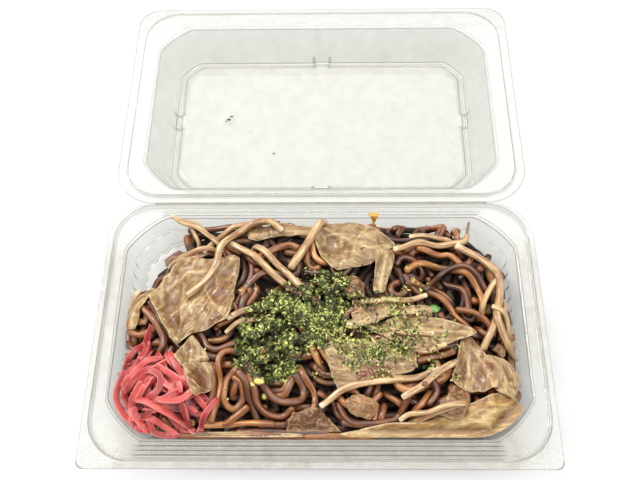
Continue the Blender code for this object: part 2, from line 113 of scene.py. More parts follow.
class Nodes:
    """A material's node tree, with short calls that add and link nodes."""

    def __init__(self, name):
        self.material = bpy.data.materials.new(name)
        self.material.use_nodes = True
        self.tree = self.material.node_tree
        self.shader = self.tree.nodes["Principled BSDF"]

    def node(self, kind, **settings):
        made = self.tree.nodes.new(kind)
        for key, value in settings.items():
            setattr(made, key, value)
        return made

    def put(self, socket, value):
        if isinstance(value, bpy.types.NodeSocket):
            self.tree.links.new(value, socket)
        else:
            socket.default_value = value

    def set(self, **values):
        for key, value in values.items():
            self.put(self.shader.inputs[key.replace("_", " ")], value)

    def coords(self):
        return self.node("ShaderNodeTexCoord").outputs["Object"]

    def noise(self, scale, detail=3.0, rough=0.55, vector=None, warp=0.0):
        made = self.node("ShaderNodeTexNoise")
        self.put(made.inputs["Vector"], vector or self.coords())
        made.inputs["Scale"].default_value = scale
        made.inputs["Detail"].default_value = detail
        made.inputs["Roughness"].default_value = rough
        made.inputs["Distortion"].default_value = warp
        return made.outputs["Fac"]

    def ramp(self, value, stops):
        made = self.node("ShaderNodeValToRGB")
        self.put(made.inputs["Fac"], value)
        ramp = made.color_ramp
        while len(ramp.elements) < len(stops):
            ramp.elements.new(0.5)
        for element, (place, color) in zip(ramp.elements, stops):
            element.position = place
            element.color = (*color, 1.0)
        return made.outputs["Color"]

    def mix(self, share, a, b):
        made = self.node("ShaderNodeMix", data_type="RGBA")
        self.put(made.inputs["Factor"], share)
        self.put(made.inputs["A"], (*a, 1.0) if isinstance(a, tuple) else a)
        self.put(made.inputs["B"], (*b, 1.0) if isinstance(b, tuple) else b)
        return made.outputs["Result"]

    def math(self, kind, a, b=0.0, clamp=False):
        made = self.node("ShaderNodeMath", operation=kind, use_clamp=clamp)
        self.put(made.inputs[0], a)
        self.put(made.inputs[1], b)
        return made.outputs[0]

    def plus(self, a, b, clamp=False):
        return self.math("ADD", a, b, clamp)

    def times(self, a, b):
        return self.math("MULTIPLY", a, b)

    def tint(self, color, value, low, high, most, shade):
        """Mix in a shade where a value goes from low to high, at most this much."""
        return self.mix(self.spread(value, low, high, 0.0, most), color, shade)

    def spread(self, value, low, high, to_low=0.0, to_high=1.0):
        made = self.node("ShaderNodeMapRange", clamp=True)
        self.put(made.inputs["Value"], value)
        for key, number in (("From Min", low), ("From Max", high),
                            ("To Min", to_low), ("To Max", to_high)):
            made.inputs[key].default_value = number
        return made.outputs["Result"]

    def attribute(self, name, output="Fac"):
        return self.node("ShaderNodeAttribute", attribute_name=name).outputs[output]

    def fibre(self, scale, detail=3.0, warp=0.2):
        """Noise drawn out along each strand or leaf."""
        return self.noise(scale, detail, 0.6, self.attribute("path", "Vector"), warp)

    def bump(self, height, strength, distance):
        made = self.node("ShaderNodeBump")
        self.put(made.inputs["Height"], height)
        made.inputs["Strength"].default_value = strength
        made.inputs["Distance"].default_value = distance
        self.put(self.shader.inputs["Normal"], made.outputs["Normal"])

    def let_lamps_through(self, tint):
        """Light that falls on what is behind the clear sheet passes it straight."""
        clear = self.node("ShaderNodeBsdfTransparent")
        clear.inputs["Color"].default_value = (*tint, 1.0)
        surface = self.shader.outputs[0]
        for kind in ("Is Diffuse Ray", "Is Shadow Ray"):
            choice = self.node("ShaderNodeMixShader")
            self.put(choice.inputs[0], self.node("ShaderNodeLightPath").outputs[kind])
            self.put(choice.inputs[1], surface)
            self.put(choice.inputs[2], clear.outputs[0])
            surface = choice.outputs[0]
        self.put(self.tree.nodes["Material Output"].inputs["Surface"], surface)


def srgb(r, g, b):
    """Linear colour of 8-bit display values."""
    return tuple(c / 255 / 12.92 if c <= 10 else ((c / 255 + 0.055) / 1.055) ** 2.4
                 for c in (r, g, b))


CLEAR = srgb(241, 241, 237)


def clear_plastic():
    """Thin clear sheet: slightly milky at its flanges, with painted grey shade over its flanges and
    ledges, and painted grey lines at its bends for the surroundings seen through them.
    """
    made = Nodes("clear_plastic_look")
    smudge = made.noise(140.0, 4.0, 0.6)
    speck = made.spread(made.noise(1100.0, 1.0), 0.5, 0.62)
    stipple = made.times(speck, made.attribute("grain"))
    # Milkiness with painted shade: each flat's share, heavier at the front, varied by smudges and
    # stipple.
    haze = made.times(made.attribute("haze"), made.spread(smudge, 0.3, 0.7, 0.8, 1.2))
    haze = made.plus(haze, made.times(stipple, 0.1))
    line = made.attribute("line")
    milk = made.math("MAXIMUM", haze, made.times(line, 0.6), True)
    # Painted shade: the hazed parts turn grey.
    color = made.mix(made.spread(haze, 0.03, 0.4), CLEAR, srgb(168, 164, 154))
    # Painted grey lines along the bends and rib flanks, standing in for the surroundings seen
    # through the bent sheet.
    color = made.mix(line, color, srgb(112, 112, 108))
    made.set(Base_Color=color, Transmission_Weight=made.math("SUBTRACT", 1.0, milk), IOR=1.45,
             Roughness=made.spread(smudge, 0.4, 0.8, 0.03, 0.07))
    made.shader.inputs["Specular IOR Level"].default_value = 0.3
    made.bump(made.plus(made.noise(150.0, 2.0), stipple), 0.12, 0.0006)
    made.let_lamps_through((0.95, 0.95, 0.94))
    return made.material


def floor_look():
    made = Nodes("floor_look")
    made.set(Base_Color=(0.53, 0.53, 0.53, 1.0), Roughness=0.6)
    made.shader.inputs["Specular IOR Level"].default_value = 0.2
    return made.material


# ---------------------------------------------------------------- meshes

def add_piece(name, verts, faces, look, body=None, smooth=True, values=None):
    """An object from arrays, in millimetres, that rides on a body."""
    verts = np.asarray(verts, dtype=np.float32)
    mesh = bpy.data.meshes.new(name)
    mesh.vertices.add(len(verts))
    mesh.vertices.foreach_set("co", (verts * MM).ravel())
    groups = faces if isinstance(faces, list) else [faces]
    groups = [np.asarray(g, dtype=np.int32) for g in groups if len(g)]
    sizes = np.concatenate([np.full(len(g), g.shape[1], dtype=np.int32) for g in groups])
    corners = np.concatenate([g.ravel() for g in groups])
    starts = np.concatenate([[0], np.cumsum(sizes)[:-1]]).astype(np.int32)
    mesh.loops.add(len(corners))
    mesh.loops.foreach_set("vertex_index", corners)
    mesh.polygons.add(len(sizes))
    mesh.polygons.foreach_set("loop_start", starts)
    mesh.update(calc_edges=True)
    mesh.validate()
    for key, data in (values or {}).items():
        data = np.asarray(data, dtype=np.float32)
        kind, field = ("FLOAT", "value") if data.ndim == 1 else ("FLOAT_VECTOR", "vector")
        mesh.attributes.new(key, kind, "POINT").data.foreach_set(field, data.ravel())
    if smooth:
        mesh.shade_smooth()
    mesh.materials.append(look)
    obj = bpy.data.objects.new(name, mesh)
    bpy.context.scene.collection.objects.link(obj)
    if body:
        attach(obj, body)
    return obj


def grid_faces(rows, columns, first=0, closed=True, flip=False):
    """Quads between rows of vertices."""
    i, j = np.meshgrid(np.arange(rows - 1), np.arange(columns if closed else columns - 1),
                       indexing="ij")
    a = first + i * columns + j
    b = first + i * columns + (j + 1) % columns
    quads = np.stack([a, b, b + columns, a + columns], axis=-1).reshape(-1, 4)
    return quads[:, ::-1] if flip else quads


def end_caps(rows, around, flip=False):
    """Fans that close rows of vertices, to the two single vertices after the last row."""
    k = np.arange(around)
    after = (k + 1) % around
    end = rows * around
    caps = np.vstack([np.stack([after, k, np.full(around, end)], axis=1),
                      np.stack([end - around + k, end - around + after,
                                np.full(around, end + 1)], axis=1)])
    return caps[:, [1, 0, 2]] if flip else caps


def border_edges(faces):
    """The edges that one face alone has, each in that face's direction."""
    edges = {}
    for face in faces.tolist():
        for edge in zip(face, face[1:] + face[:1]):
            edges[edge] = True
    return [edge for edge in edges if (edge[1], edge[0]) not in edges]


# ---------------------------------------------------------------- the pack's shells

def outline(half_x, y_front, y_back, front, back, segments, steps):
    """Points round a rectangle with shaped corners, counterclockwise from the front left."""
    n_long, n_short, n_corner = (n * steps for n in segments)
    (f_leg, f_power), (b_leg, b_power) = front, back

    def corner(start, along, across, leg, power):
        turn = np.pi / 2 * np.arange(n_corner) / n_corner
        a = leg * np.sin(turn) ** (2 / power)
        b = leg * (1 - np.cos(turn) ** (2 / power))
        return (np.array(start) + a[:, None] * np.array(along) + b[:, None] * np.array(across))

    def side(start, end, count):
        t = (np.arange(count) / count)[:, None]
        return np.array(start) * (1 - t) + np.array(end) * t

    return np.vstack([
        side((f_leg - half_x, y_front), (half_x - f_leg, y_front), n_long),
        corner((half_x - f_leg, y_front), (1, 0), (0, 1), f_leg, f_power),
        side((half_x, y_front + f_leg), (half_x, y_back - b_leg), n_short),
        corner((half_x, y_back - b_leg), (0, 1), (-1, 0), b_leg, b_power),
        side((half_x - b_leg, y_back), (b_leg - half_x, y_back), n_long),
        corner((b_leg - half_x, y_back), (-1, 0), (0, -1), b_leg, b_power),
        side((-half_x, y_back - b_leg), (-half_x, y_front + f_leg), n_short),
        corner((-half_x, y_front + f_leg), (0, -1), (1, 0), f_leg, f_power)])


# Rings much as in the solid: half width, front y, back y, height, front corner, back corner, flutes.
TRAY_RINGS = [
    (100.0, -63.0, 62.85, HEIGHT, (3.0, 2.0), (20.0, 2.0), 0.0),
    (97.4, -59.7, 62.3, HEIGHT, (19.0, 2.0), (18.5, 2.0), 0.0),
    (96.6, -58.8, 61.5, LEDGE_Z, (18.5, 2.0), (18.0, 2.0), 0.0),
    (91.5, -50.1, 57.1, LEDGE_Z, (18.0, 1.3), (18.0, 1.3), 0.0),
    (88.3, -47.1, 53.9, 10.3, (17.0, 1.3), (17.0, 1.3), 0.0),
    (87.5, -46.3, 53.1, 9.8, (16.5, 1.3), (16.5, 1.3), 0.5),
    (85.2, -44.0, 50.8, 1.8, (15.5, 1.3), (15.5, 1.3), 0.5),
    (83.2, -42.0, 48.8, SHEET, (14.5, 1.3), (14.5, 1.3), 0.0),
]
TRAY_SEGMENTS = (23, 11, 4)
# For each bend between two flats: its radius and how strong a painted grey line it shows.
TRAY_BENDS = [(0.5, 0.5), (0.5, 0.3), (1.0, 0.9), (0.5, 0.35), (0.4, 0.0), (0.9, 0.4)]
# Milkiness and painted grey shade of each flat and the middle.
TRAY_HAZE = (0.26, 0.22, 0.28, 0.07, 0.05, 0.05, 0.05, 0.02)    # for each flat and the middle
TRAY_STEP = (0.8, 0.9, 0.3, 1.6, 1.0, 1.6, 1.0)               # between rows of vertices

LID_RINGS = [
    (100.0, 0.15, 125.0, HEIGHT, (20.0, 2.0), (11.0, 2.0), 0.0),
    (95.6, 3.2, 121.2, HEIGHT, (17.5, 2.0), (18.5, 2.0), 0.0),
    (95.1, 3.7, 120.7, PLUG_Z, (17.0, 2.0), (18.0, 2.0), 0.0),
    (86.5, 6.8, 109.6, PLUG_Z, (16.5, 1.3), (16.5, 1.3), 0.0),
    (77.6, 17.6, 102.6, SHEET, (10.5, 1.3), (10.5, 1.3), 0.0),
    (75.6, 19.2, 100.4, SHEET, (10.0, 1.3), (10.0, 1.3), 0.0),
    (74.4, 20.4, 99.0, 2.1, (9.5, 1.3), (9.5, 1.3), 0.0),
]
LID_SEGMENTS = (23, 13, 8)
LID_BENDS = [(0.5, 0.35), (0.5, 0.2), (1.2, 0.6), (0.8, 0.8), (0.5, 0.8)]
# Milkiness and painted grey shade of each flat of the lid.
LID_HAZE = (0.08, 0.09, 0.08, 0.11, 0.11, 0.13, 0.18)
LID_STEP = (0.9, 0.9, 0.6, 1.1, 0.6, 0.6)


def formed_rows(rings, bends, steps):
    """Rows of a formed sheet from its rings, with rounded bends. Gives the rows, how strong
    a painted grey line each one shows and the flat that it lies on."""
    rows, lines, flats = [rings[0]], [0.5], [0]

    def go(to, line, flat, step=99.0):
        start = rows[-1]
        count = max(1, int(np.linalg.norm(to - start, axis=1).max() / step))
        for k in range(1, count + 1):
            rows.append(start + (to - start) * k / count)
            lines.append(line if k == count else 0.0)
            flats.append(flat)

    go(rings[0] + (rings[1] - rings[0]) * 0.1, 0.0, 0)
    for flat, (before, here, after) in enumerate(zip(rings, rings[1:], rings[2:])):
        radius, line = bends[flat]
        arms = []
        for other in (before, after):
            gap = np.linalg.norm(other - here, axis=1, keepdims=True)
            arms.append((other - here) / np.maximum(gap, 1e-6) * np.minimum(radius, gap * 0.36))
        start, end = here + arms[0], here + arms[1]
        go(start + arms[0] * 0.25 / radius, 0.0, flat, steps[flat])
        go(start, line, flat)
        for t in (0.18, 0.5, 0.82) if line else (0.5,):
            go((1 - t) ** 2 * start + 2 * t * (1 - t) * here + t * t * end, 0.0, flat)
        go(end, line, flat + 1)
        go(end + arms[1] * 0.25 / radius, 0.0, flat + 1)
    go(rings[-1], 0.0, len(rings) - 2, steps[-1])
    middle = rings[-1].mean(axis=0)
    for share in (0.97, 0.9, 0.75, 0.55, 0.35, 0.15):
        go(middle + (rings[-1] - middle) * share, 0.0, len(rings) - 1)
    return np.array(rows), np.array(lines), np.array(flats)


def shell(name, rings, bends, steps, hazes, segments, per_segment, y_shift, node, look, shape):
    """A formed sheet: a stack of rings, rounded, closed in the middle and given a thickness."""
    keys = []
    for half_x, y_front, y_back, z, front, back, flutes in rings:
        flat = outline(half_x, y_front, y_back, front, back, segments, per_segment)
        ahead = np.roll(flat, -1, axis=0) - np.roll(flat, 1, axis=0)
        normal = np.stack([ahead[:, 1], -ahead[:, 0]], axis=1)
        normal /= np.linalg.norm(normal, axis=1)[:, None]
        wave = np.cos(2 * np.pi * np.arange(len(flat)) / per_segment)
        flat = flat + normal * (flutes * wave)[:, None]
        keys.append(np.column_stack([flat, np.full(len(flat), z)]))
    upper, lines, flats = formed_rows(keys, bends, steps)
    upper, more_line, haze_scale, grain = shape(upper)
    line = np.clip(lines[:, None] + more_line, 0, 1)
    # Milkiness and painted grey shade: each flat's share times the share of the side it lies on.
    haze = np.array(hazes)[flats][:, None] * haze_scale
    upper = upper + (0, y_shift, 0)
    down = np.gradient(upper, axis=0)
    around = np.roll(upper, -1, axis=1) - np.roll(upper, 1, axis=1)
    normal = np.cross(around, down)
    normal /= np.maximum(np.linalg.norm(normal, axis=2, keepdims=True), 1e-9)
    normal[normal[..., 2] < 0] *= -1
    normal[0] = (0, 0, 1)
    lower = upper - normal * SHEET
    rows, count = upper.shape[:2]
    total = rows * count
    lip = np.arange(count)
    after = (lip + 1) % count
    quads = [grid_faces(rows, count), grid_faces(rows, count, total, flip=True),
             np.stack([lip, lip + total, after + total, after], axis=1)]
    verts = np.vstack([upper.reshape(-1, 3), lower.reshape(-1, 3),
                       upper[-1].mean(axis=0), lower[-1].mean(axis=0)])
    last = (rows - 1) * count
    caps = np.vstack([
        np.stack([last + lip, last + after, np.full(count, 2 * total)], axis=1),
        np.stack([total + last + after, total + last + lip, np.full(count, 2 * total + 1)], axis=1)])

    def both(values):
        flat = np.broadcast_to(values, (rows, count)).ravel()
        return np.concatenate([flat, flat, [flat[-1]] * 2])

    made = add_piece(name, verts, [np.vstack(quads), caps], look, node, values={
        "line": both(line), "haze": both(haze), "grain": both(grain)})
    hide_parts(node)
    return made


def ease(value, low, high):
    t = np.clip((value - low) / (high - low), 0, 1)
    return t * t * (3 - 2 * t)


def tray_relief(upper):
    """Shallow ribs along the two long sides of the ledge, and stippled front corners, with painted
    grey lines on the ribs' flanks and painted shade that is heaviest at the front.
    """
    x, y, z = np.moveaxis(upper, -1, 0)
    ends = ease(80 - np.abs(x), 0, 6) * (np.abs(z - LEDGE_Z) < 1.0)
    front = ends * ease(y, -58.9, -58.2) * ease(-y, 50.6, 51.2)
    back = ends * ease(y, 57.6, 58.1) * ease(-y, -61.3, -60.9)
    phase = 2 * np.pi * (y + 58.6) / 1.9
    out = upper.copy()
    out[..., 2] = z + (0.32 * np.sin(phase)) * (front + back)
    flank = np.clip(np.cos(phase), 0, 1) ** 3
    # Painted grey lines on the ribs' flanks: strong at the front, faint at the back.
    line = flank * (0.62 * front + 0.12 * back)
    # Painted shade: the grey stays full on the front ledge, and is taken mostly off at the back and
    # partly off on the sides towards their front ends.
    haze = 1 - 0.78 * ease(y, 30, 54) - 0.55 * ease(-y, -60, 52) * ease(np.abs(x), 80, 88)
    grain = ease(np.abs(x), 76, 84) * ease(-y, 50, 54)
    return out, line, haze, grain


def lid_relief(upper):
    """Small bridges across the groove round the panel, at the middle of each side."""
    x, y, z = np.moveaxis(upper, -1, 0)
    long_side = np.abs(y - 59.7) / 42 > np.abs(x) / 77
    along = np.where(long_side, np.abs(x), np.abs(y - 62))
    low = ease(-z, -5.5, -4.5)
    out = upper.copy()
    out[..., 2] = z + 0.9 * ease(-along, -4.6, -3.8) * ease(-z, -1.9, -1.2)
    # A painted grey line at the bridges' edges, down in the groove.
    line = 0.55 * np.exp(-((along - 4.2) / 0.5) ** 2) * low * (z < 5.5) * (
        np.hypot(x / 73.5, (y - 59.7) / 38.0) > 0.9) * np.where(
        long_side, np.abs(y - 59.7) > 38.5, np.abs(x) > 73.6)
    grain = ease(y, 112, 118) * ease(np.abs(x), 70, 84)
    return out, line, np.ones(x.shape), grain


def add_hinge_film(look):
    """The bend that joins tray and lid."""
    across = np.linspace(-0.55, 0.55, 8)
    xs = np.linspace(-79.5, 79.5, 90)
    x, a = np.meshgrid(xs, across, indexing="ij")
    crown = HEIGHT - 0.05 + 0.16 * np.cos(a / 0.55 * np.pi / 2)
    top = np.stack([x, HINGE_Y + a, crown], axis=-1).reshape(-1, 3)
    verts = np.vstack([top, top - (0, 0, 0.2)])
    rows, columns = x.shape
    first = grid_faces(rows, columns, closed=False)[:, ::-1]
    low = first[:, ::-1] + len(top)
    border = [k * columns for k in range(rows)] + [(rows - 1) * columns + k
                                                   for k in range(1, columns)]
    border += [k * columns + columns - 1 for k in range(rows - 2, -1, -1)]
    border += list(range(columns - 2, 0, -1))
    rim = np.array(border)
    after = np.roll(rim, -1)
    sides = np.stack([rim, after, after + len(top), rim + len(top)], axis=1)
    # A painted grey line along the crease, and milkiness with painted shade.
    film = add_piece("hinge_film", verts, [np.vstack([first, low, sides])], look, values={
        "line": np.tile(np.exp(-(a.ravel() / 0.3) ** 2) * 0.5, 2),
        "haze": np.full(len(verts), 0.3), "grain": np.zeros(len(verts))})
    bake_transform(film)


def add_pack():
    look = clear_plastic()
    shell("tray_shell", TRAY_RINGS, TRAY_BENDS, TRAY_STEP, TRAY_HAZE, TRAY_SEGMENTS, 5, 0.0,
          "tray", look, tray_relief)
    shell("lid_shell", LID_RINGS, LID_BENDS, LID_STEP, LID_HAZE, LID_SEGMENTS, 4, HINGE_Y,
          "lid", look, lid_relief)
    add_hinge_film(look)


# ---------------------------------------------------------------- the heap as it is laid

CELL = 0.5
LOW_CORNER = (-97.0, -57.0)
CELLS = (389, 243)
WALL_STEPS = ([-30.0, -5.2, -3.2, -0.2, 3.1, 9.0], [0.9, 0.9, 2.2, 10.4, 17.3, 17.3])


# The cavity's line at mid height, seen from above: half sizes, middle and corner radius.
CAVITY_HALF = (88.2, 50.4)
CAVITY_MIDDLE_Y = 3.4
CAVITY_CORNER = 24.0
# The closed lid over the food: half sizes of its wall's foot, their middle, how far its
# corners are cut, the foot's height, the room left to it and the wall's slope and width.
LID_FOOT_HALF = (86.5, 51.4)
LID_MIDDLE_Y = 4.8
LID_CORNER_CUT = 14.5
LID_FOOT_Z = 18.1
LID_ROOM = 0.25
LID_SLOPE = 2.05
LID_WALL_WIDTH = 9.6


def wall_distance(x, y):
    """Distance outside the cavity's line: negative within."""
    dx = np.abs(x) - (CAVITY_HALF[0] - CAVITY_CORNER)
    dy = np.abs(y - CAVITY_MIDDLE_Y) - (CAVITY_HALF[1] - CAVITY_CORNER)
    outside = np.hypot(np.maximum(dx, 0), np.maximum(dy, 0))
    return outside + np.minimum(np.maximum(dx, dy), 0) - CAVITY_CORNER


def lid_room(x, y, reach):
    """Height of the closed lid's inner side above something that reaches so far sideways."""
    dx, dy = np.abs(x) - LID_FOOT_HALF[0], np.abs(y - LID_MIDDLE_Y) - LID_FOOT_HALF[1]
    corner = (dx + dy + LID_CORNER_CUT) / math.sqrt(2)
    outside = np.maximum(np.maximum(dx, dy), corner) + reach
    return LID_FOOT_Z - LID_ROOM - LID_SLOPE * np.clip(outside, -LID_WALL_WIDTH, 0)


def push_inside(points, margin, soft=6.0):
    """Move a route's points smoothly in from the wall."""
    out = points.copy()
    for _ in range(2):
        x, y = out[:, 0], out[:, 1]
        d = wall_distance(x, y)
        gx = wall_distance(x + 0.5, y) - wall_distance(x - 0.5, y)
        gy = wall_distance(x, y + 0.5) - wall_distance(x, y - 0.5)
        over = np.maximum(d + margin + soft, 0)
        new = -margin - soft + soft * (1 - np.exp(-over / soft))
        shift = np.where(over > 0, d - new, 0)
        out = out - np.stack([gx, gy], axis=1) * shift[:, None]
    return out


def random_field(x, y, size, seed):
    """Smooth noise from -1 to 1 with features about `size` millimetres across."""
    table = np.random.RandomState(seed).rand(64, 64) * 2 - 1
    u, v = x / size + 100.3, y / size + 100.7
    i, j = np.floor(u).astype(int), np.floor(v).astype(int)
    s, t = u - i, v - j
    s, t = s * s * (3 - 2 * s), t * t * (3 - 2 * t)
    i, j, i1, j1 = i % 64, j % 64, (i + 1) % 64, (j + 1) % 64
    return ((table[i, j] * (1 - s) + table[i1, j] * s) * (1 - t)
            + (table[i, j1] * (1 - s) + table[i1, j1] * s) * t)


def disk(radius, round_top=True):
    """Grid offsets under a ball, with the ball's height over each."""
    reach = int(radius / CELL)
    i, j = np.meshgrid(np.arange(-reach, reach + 1), np.arange(-reach, reach + 1))
    square = radius ** 2 - (i ** 2 + j ** 2) * CELL ** 2
    keep = square >= 0
    return i[keep], j[keep], np.sqrt(square[keep]) * (1.0 if round_top else 0.0)


class Heap:
    """Height of what lies in the tray on a square grid: pieces are laid on it one by one."""

    def __init__(self):
        x, y = np.meshgrid(LOW_CORNER[0] + CELL * np.arange(CELLS[0]),
                           LOW_CORNER[1] + CELL * np.arange(CELLS[1]), indexing="ij")
        self.x, self.y = x, y
        self.top = np.interp(wall_distance(x, y), *WALL_STEPS)

    def cell(self, xy):
        i = np.rint((xy[:, 0] - LOW_CORNER[0]) / CELL).astype(int)
        j = np.rint((xy[:, 1] - LOW_CORNER[1]) / CELL).astype(int)
        return np.clip(i, 6, CELLS[0] - 7), np.clip(j, 6, CELLS[1] - 7)

    def at(self, xy):
        return self.top[self.cell(xy)]

    def rest(self, xy, radius):
        """Height of a ball's centre when it lies on the heap at each place."""
        i, j = self.cell(xy)
        di, dj, lift = disk(radius)
        return (self.top[i[:, None] + di, j[:, None] + dj] + lift).max(axis=1)

    def add(self, points, radius, round_top=True):
        i, j = self.cell(points)
        di, dj, lift = disk(radius, round_top)
        np.maximum.at(self.top, (i[:, None] + di, j[:, None] + dj), points[:, 2][:, None] + lift)

    def lay(self, route, radius, limp=24):
        """A limp line over the heap along a route, as points in space."""
        need = self.rest(route, radius)
        line = need.copy()
        for _ in range(limp):
            soft = line.copy()
            soft[1:-1] = 0.25 * line[:-2] + 0.5 * line[1:-1] + 0.25 * line[2:]
            line = np.maximum(need, soft)
        line = np.minimum(line, lid_room(route[:, 0], route[:, 1], radius) - radius)
        for _ in range(3):
            line[1:-1] = 0.25 * line[:-2] + 0.5 * line[1:-1] + 0.25 * line[2:]
        return np.column_stack([route, line])


def resample(points, step):
    gaps = np.linalg.norm(np.diff(points, axis=0), axis=1)
    along = np.concatenate([[0], np.cumsum(gaps)])
    count = max(4, int(along[-1] / step) + 1)
    at = np.linspace(0, along[-1], count)
    return np.stack([np.interp(at, along, points[:, k]) for k in range(points.shape[1])], axis=1)


def smooth_route(points, step=1.0, closed=False):
    """A smooth curve through the given points, at even steps."""
    p = np.array(points, dtype=float)
    if closed:
        ends = np.vstack([p[-1:], p, p[:2]])
    else:
        ends = np.vstack([2 * p[0] - p[1], p, 2 * p[-1] - p[-2]])
    t = np.linspace(0, 1, 9)[:-1, None]
    parts = []
    for a, b, c, d in zip(ends, ends[1:], ends[2:], ends[3:]):
        parts.append(0.5 * (2 * b + (c - a) * t + (2 * a - 5 * b + 4 * c - d) * t ** 2
                            + (3 * b - a - 3 * c + d) * t ** 3))
    parts.append(ends[-2][None])
    return resample(np.vstack(parts), step)


PATH_STEP = 0.07        # of the streaks' coordinate along a rod, from one point to the next


def tube(points, half_width, half_height, sides=9, power=2.4, twist=None, close=0.6):
    """A closed rod along points. Widths may change along it; its ends are rounded."""
    count = len(points)
    ahead = np.gradient(points, axis=0)
    ahead /= np.maximum(np.linalg.norm(ahead, axis=1, keepdims=True), 1e-9)
    side = np.stack([-ahead[:, 1], ahead[:, 0], np.zeros(count)], axis=1)
    side /= np.maximum(np.linalg.norm(side, axis=1, keepdims=True), 1e-9)
    up = np.cross(ahead, side)
    angle = 2 * np.pi * np.arange(sides) / sides
    c, s = np.cos(angle), np.sin(angle)
    ring = np.stack([np.sign(c) * np.abs(c) ** (2 / power), np.sign(s) * np.abs(s) ** (2 / power)])
    w = np.broadcast_to(half_width, (count,))[:, None] * ring[0]
    h = np.broadcast_to(half_height, (count,))[:, None] * ring[1]
    turn = (np.zeros(count) if twist is None else twist)[:, None]
    a, b = w * np.cos(turn) - h * np.sin(turn), w * np.sin(turn) + h * np.cos(turn)
    body = points[:, None] + a[..., None] * side[:, None] + b[..., None] * up[:, None]
    reach = float(np.min(half_height)) * 0.5
    first = points[0] + (body[0] - points[0]) * close - ahead[0] * reach
    last = points[-1] + (body[-1] - points[-1]) * close + ahead[-1] * reach
    verts = np.concatenate([first[None], body, last[None]])
    tips = np.stack([first.mean(axis=0) - ahead[0] * 0.1, last.mean(axis=0) + ahead[-1] * 0.1])
    rows = count + 2
    far = np.arange(-1, count + 1) * PATH_STEP
    path = np.stack([np.tile(c, rows), np.tile(s, rows), np.repeat(far, sides)], axis=1)
    # How far round to a rod's flank each vertex lies: the ginger paints its highlight there.
    side = np.abs(np.concatenate([path[:, 0], [0, 0]]))
    path = np.vstack([path, path[0], path[-1]]) + np.abs(points[0]) * (7.0, 5.0, 3.0)
    marks = {"path": path, "side": side}
    verts = np.vstack([verts.reshape(-1, 3), tips])
    return verts, grid_faces(rows, sides), end_caps(rows, sides), marks


PRESSED_FROM = 22.0     # above this height the food is pressed together
PRESSED_SCALE = 26.0


def settle(z):
    """Heights of the food, pressed together more the higher it lies."""
    over = np.maximum(z - PRESSED_FROM, 0)
    return z - over + PRESSED_SCALE * (1 - np.exp(-over / PRESSED_SCALE))


class Pile:
    """Many small meshes gathered into one piece, with values for their vertices."""

    def __init__(self):
        self.verts, self.quads, self.tris, self.values, self.count = [], [], [], {}, 0

    def add(self, verts, quads, tris, **values):
        self.verts.append(verts)
        self.quads.append(np.asarray(quads, dtype=int).reshape(-1, 4) + self.count)
        self.tris.append(np.asarray(tris, dtype=int).reshape(-1, 3) + self.count)
        for key, value in values.items():
            value = np.asarray(value, dtype=np.float32)
            full = np.broadcast_to(value, (len(verts),) + value.shape[1:])
            self.values.setdefault(key, []).append(full)
        self.count += len(verts)

    def make(self, name, look, node=None, slot=None, body="tray", smooth=True):
        values = {key: np.concatenate(parts) for key, parts in self.values.items()}
        verts = np.vstack(self.verts)
        verts[:, 2] = settle(verts[:, 2])
        made = add_piece(name, verts,
                         [np.vstack(self.quads), np.vstack(self.tris)], look, body, smooth, values)
        if node:
            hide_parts(*([node] if isinstance(node, str) else node))
        return made


def tops_of(node, heap):
    """Height of the upper side of one of the solids on the heap's grid: NaN beside it."""
    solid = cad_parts[node]
    low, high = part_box(node)
    tree = BVHTree.FromPolygons([solid.matrix_world @ v.co for v in solid.data.vertices],
                                [tuple(p.vertices) for p in solid.data.polygons])
    every = 4
    xs, ys = heap.x[::every, 0] * MM, heap.y[0, ::every] * MM
    down = Vector((0, 0, -1))
    coarse = np.full((len(xs), len(ys)), np.nan)
    for i, x in enumerate(xs):
        for j, y in enumerate(ys):
            if low[0] <= x <= high[0] and low[1] <= y <= high[1]:
                hit = tree.ray_cast(Vector((x, y, 0.1)), down)
                if hit[0]:
                    coarse[i, j] = hit[0].z / MM
    a = np.interp(np.arange(CELLS[0]), np.arange(0, CELLS[0], every), np.arange(len(xs)))
    b = np.interp(np.arange(CELLS[1]), np.arange(0, CELLS[1], every), np.arange(len(ys)))
    i, j = np.minimum(a.astype(int), len(xs) - 2), np.minimum(b.astype(int), len(ys) - 2)
    s, t = (a - i)[:, None], (b - j)[None, :]
    return ((coarse[i][:, j] * (1 - s) + coarse[i + 1][:, j] * s) * (1 - t)
            + (coarse[i][:, j + 1] * (1 - s) + coarse[i + 1][:, j + 1] * s) * t)


# ---------------------------------------------------------------- noodles

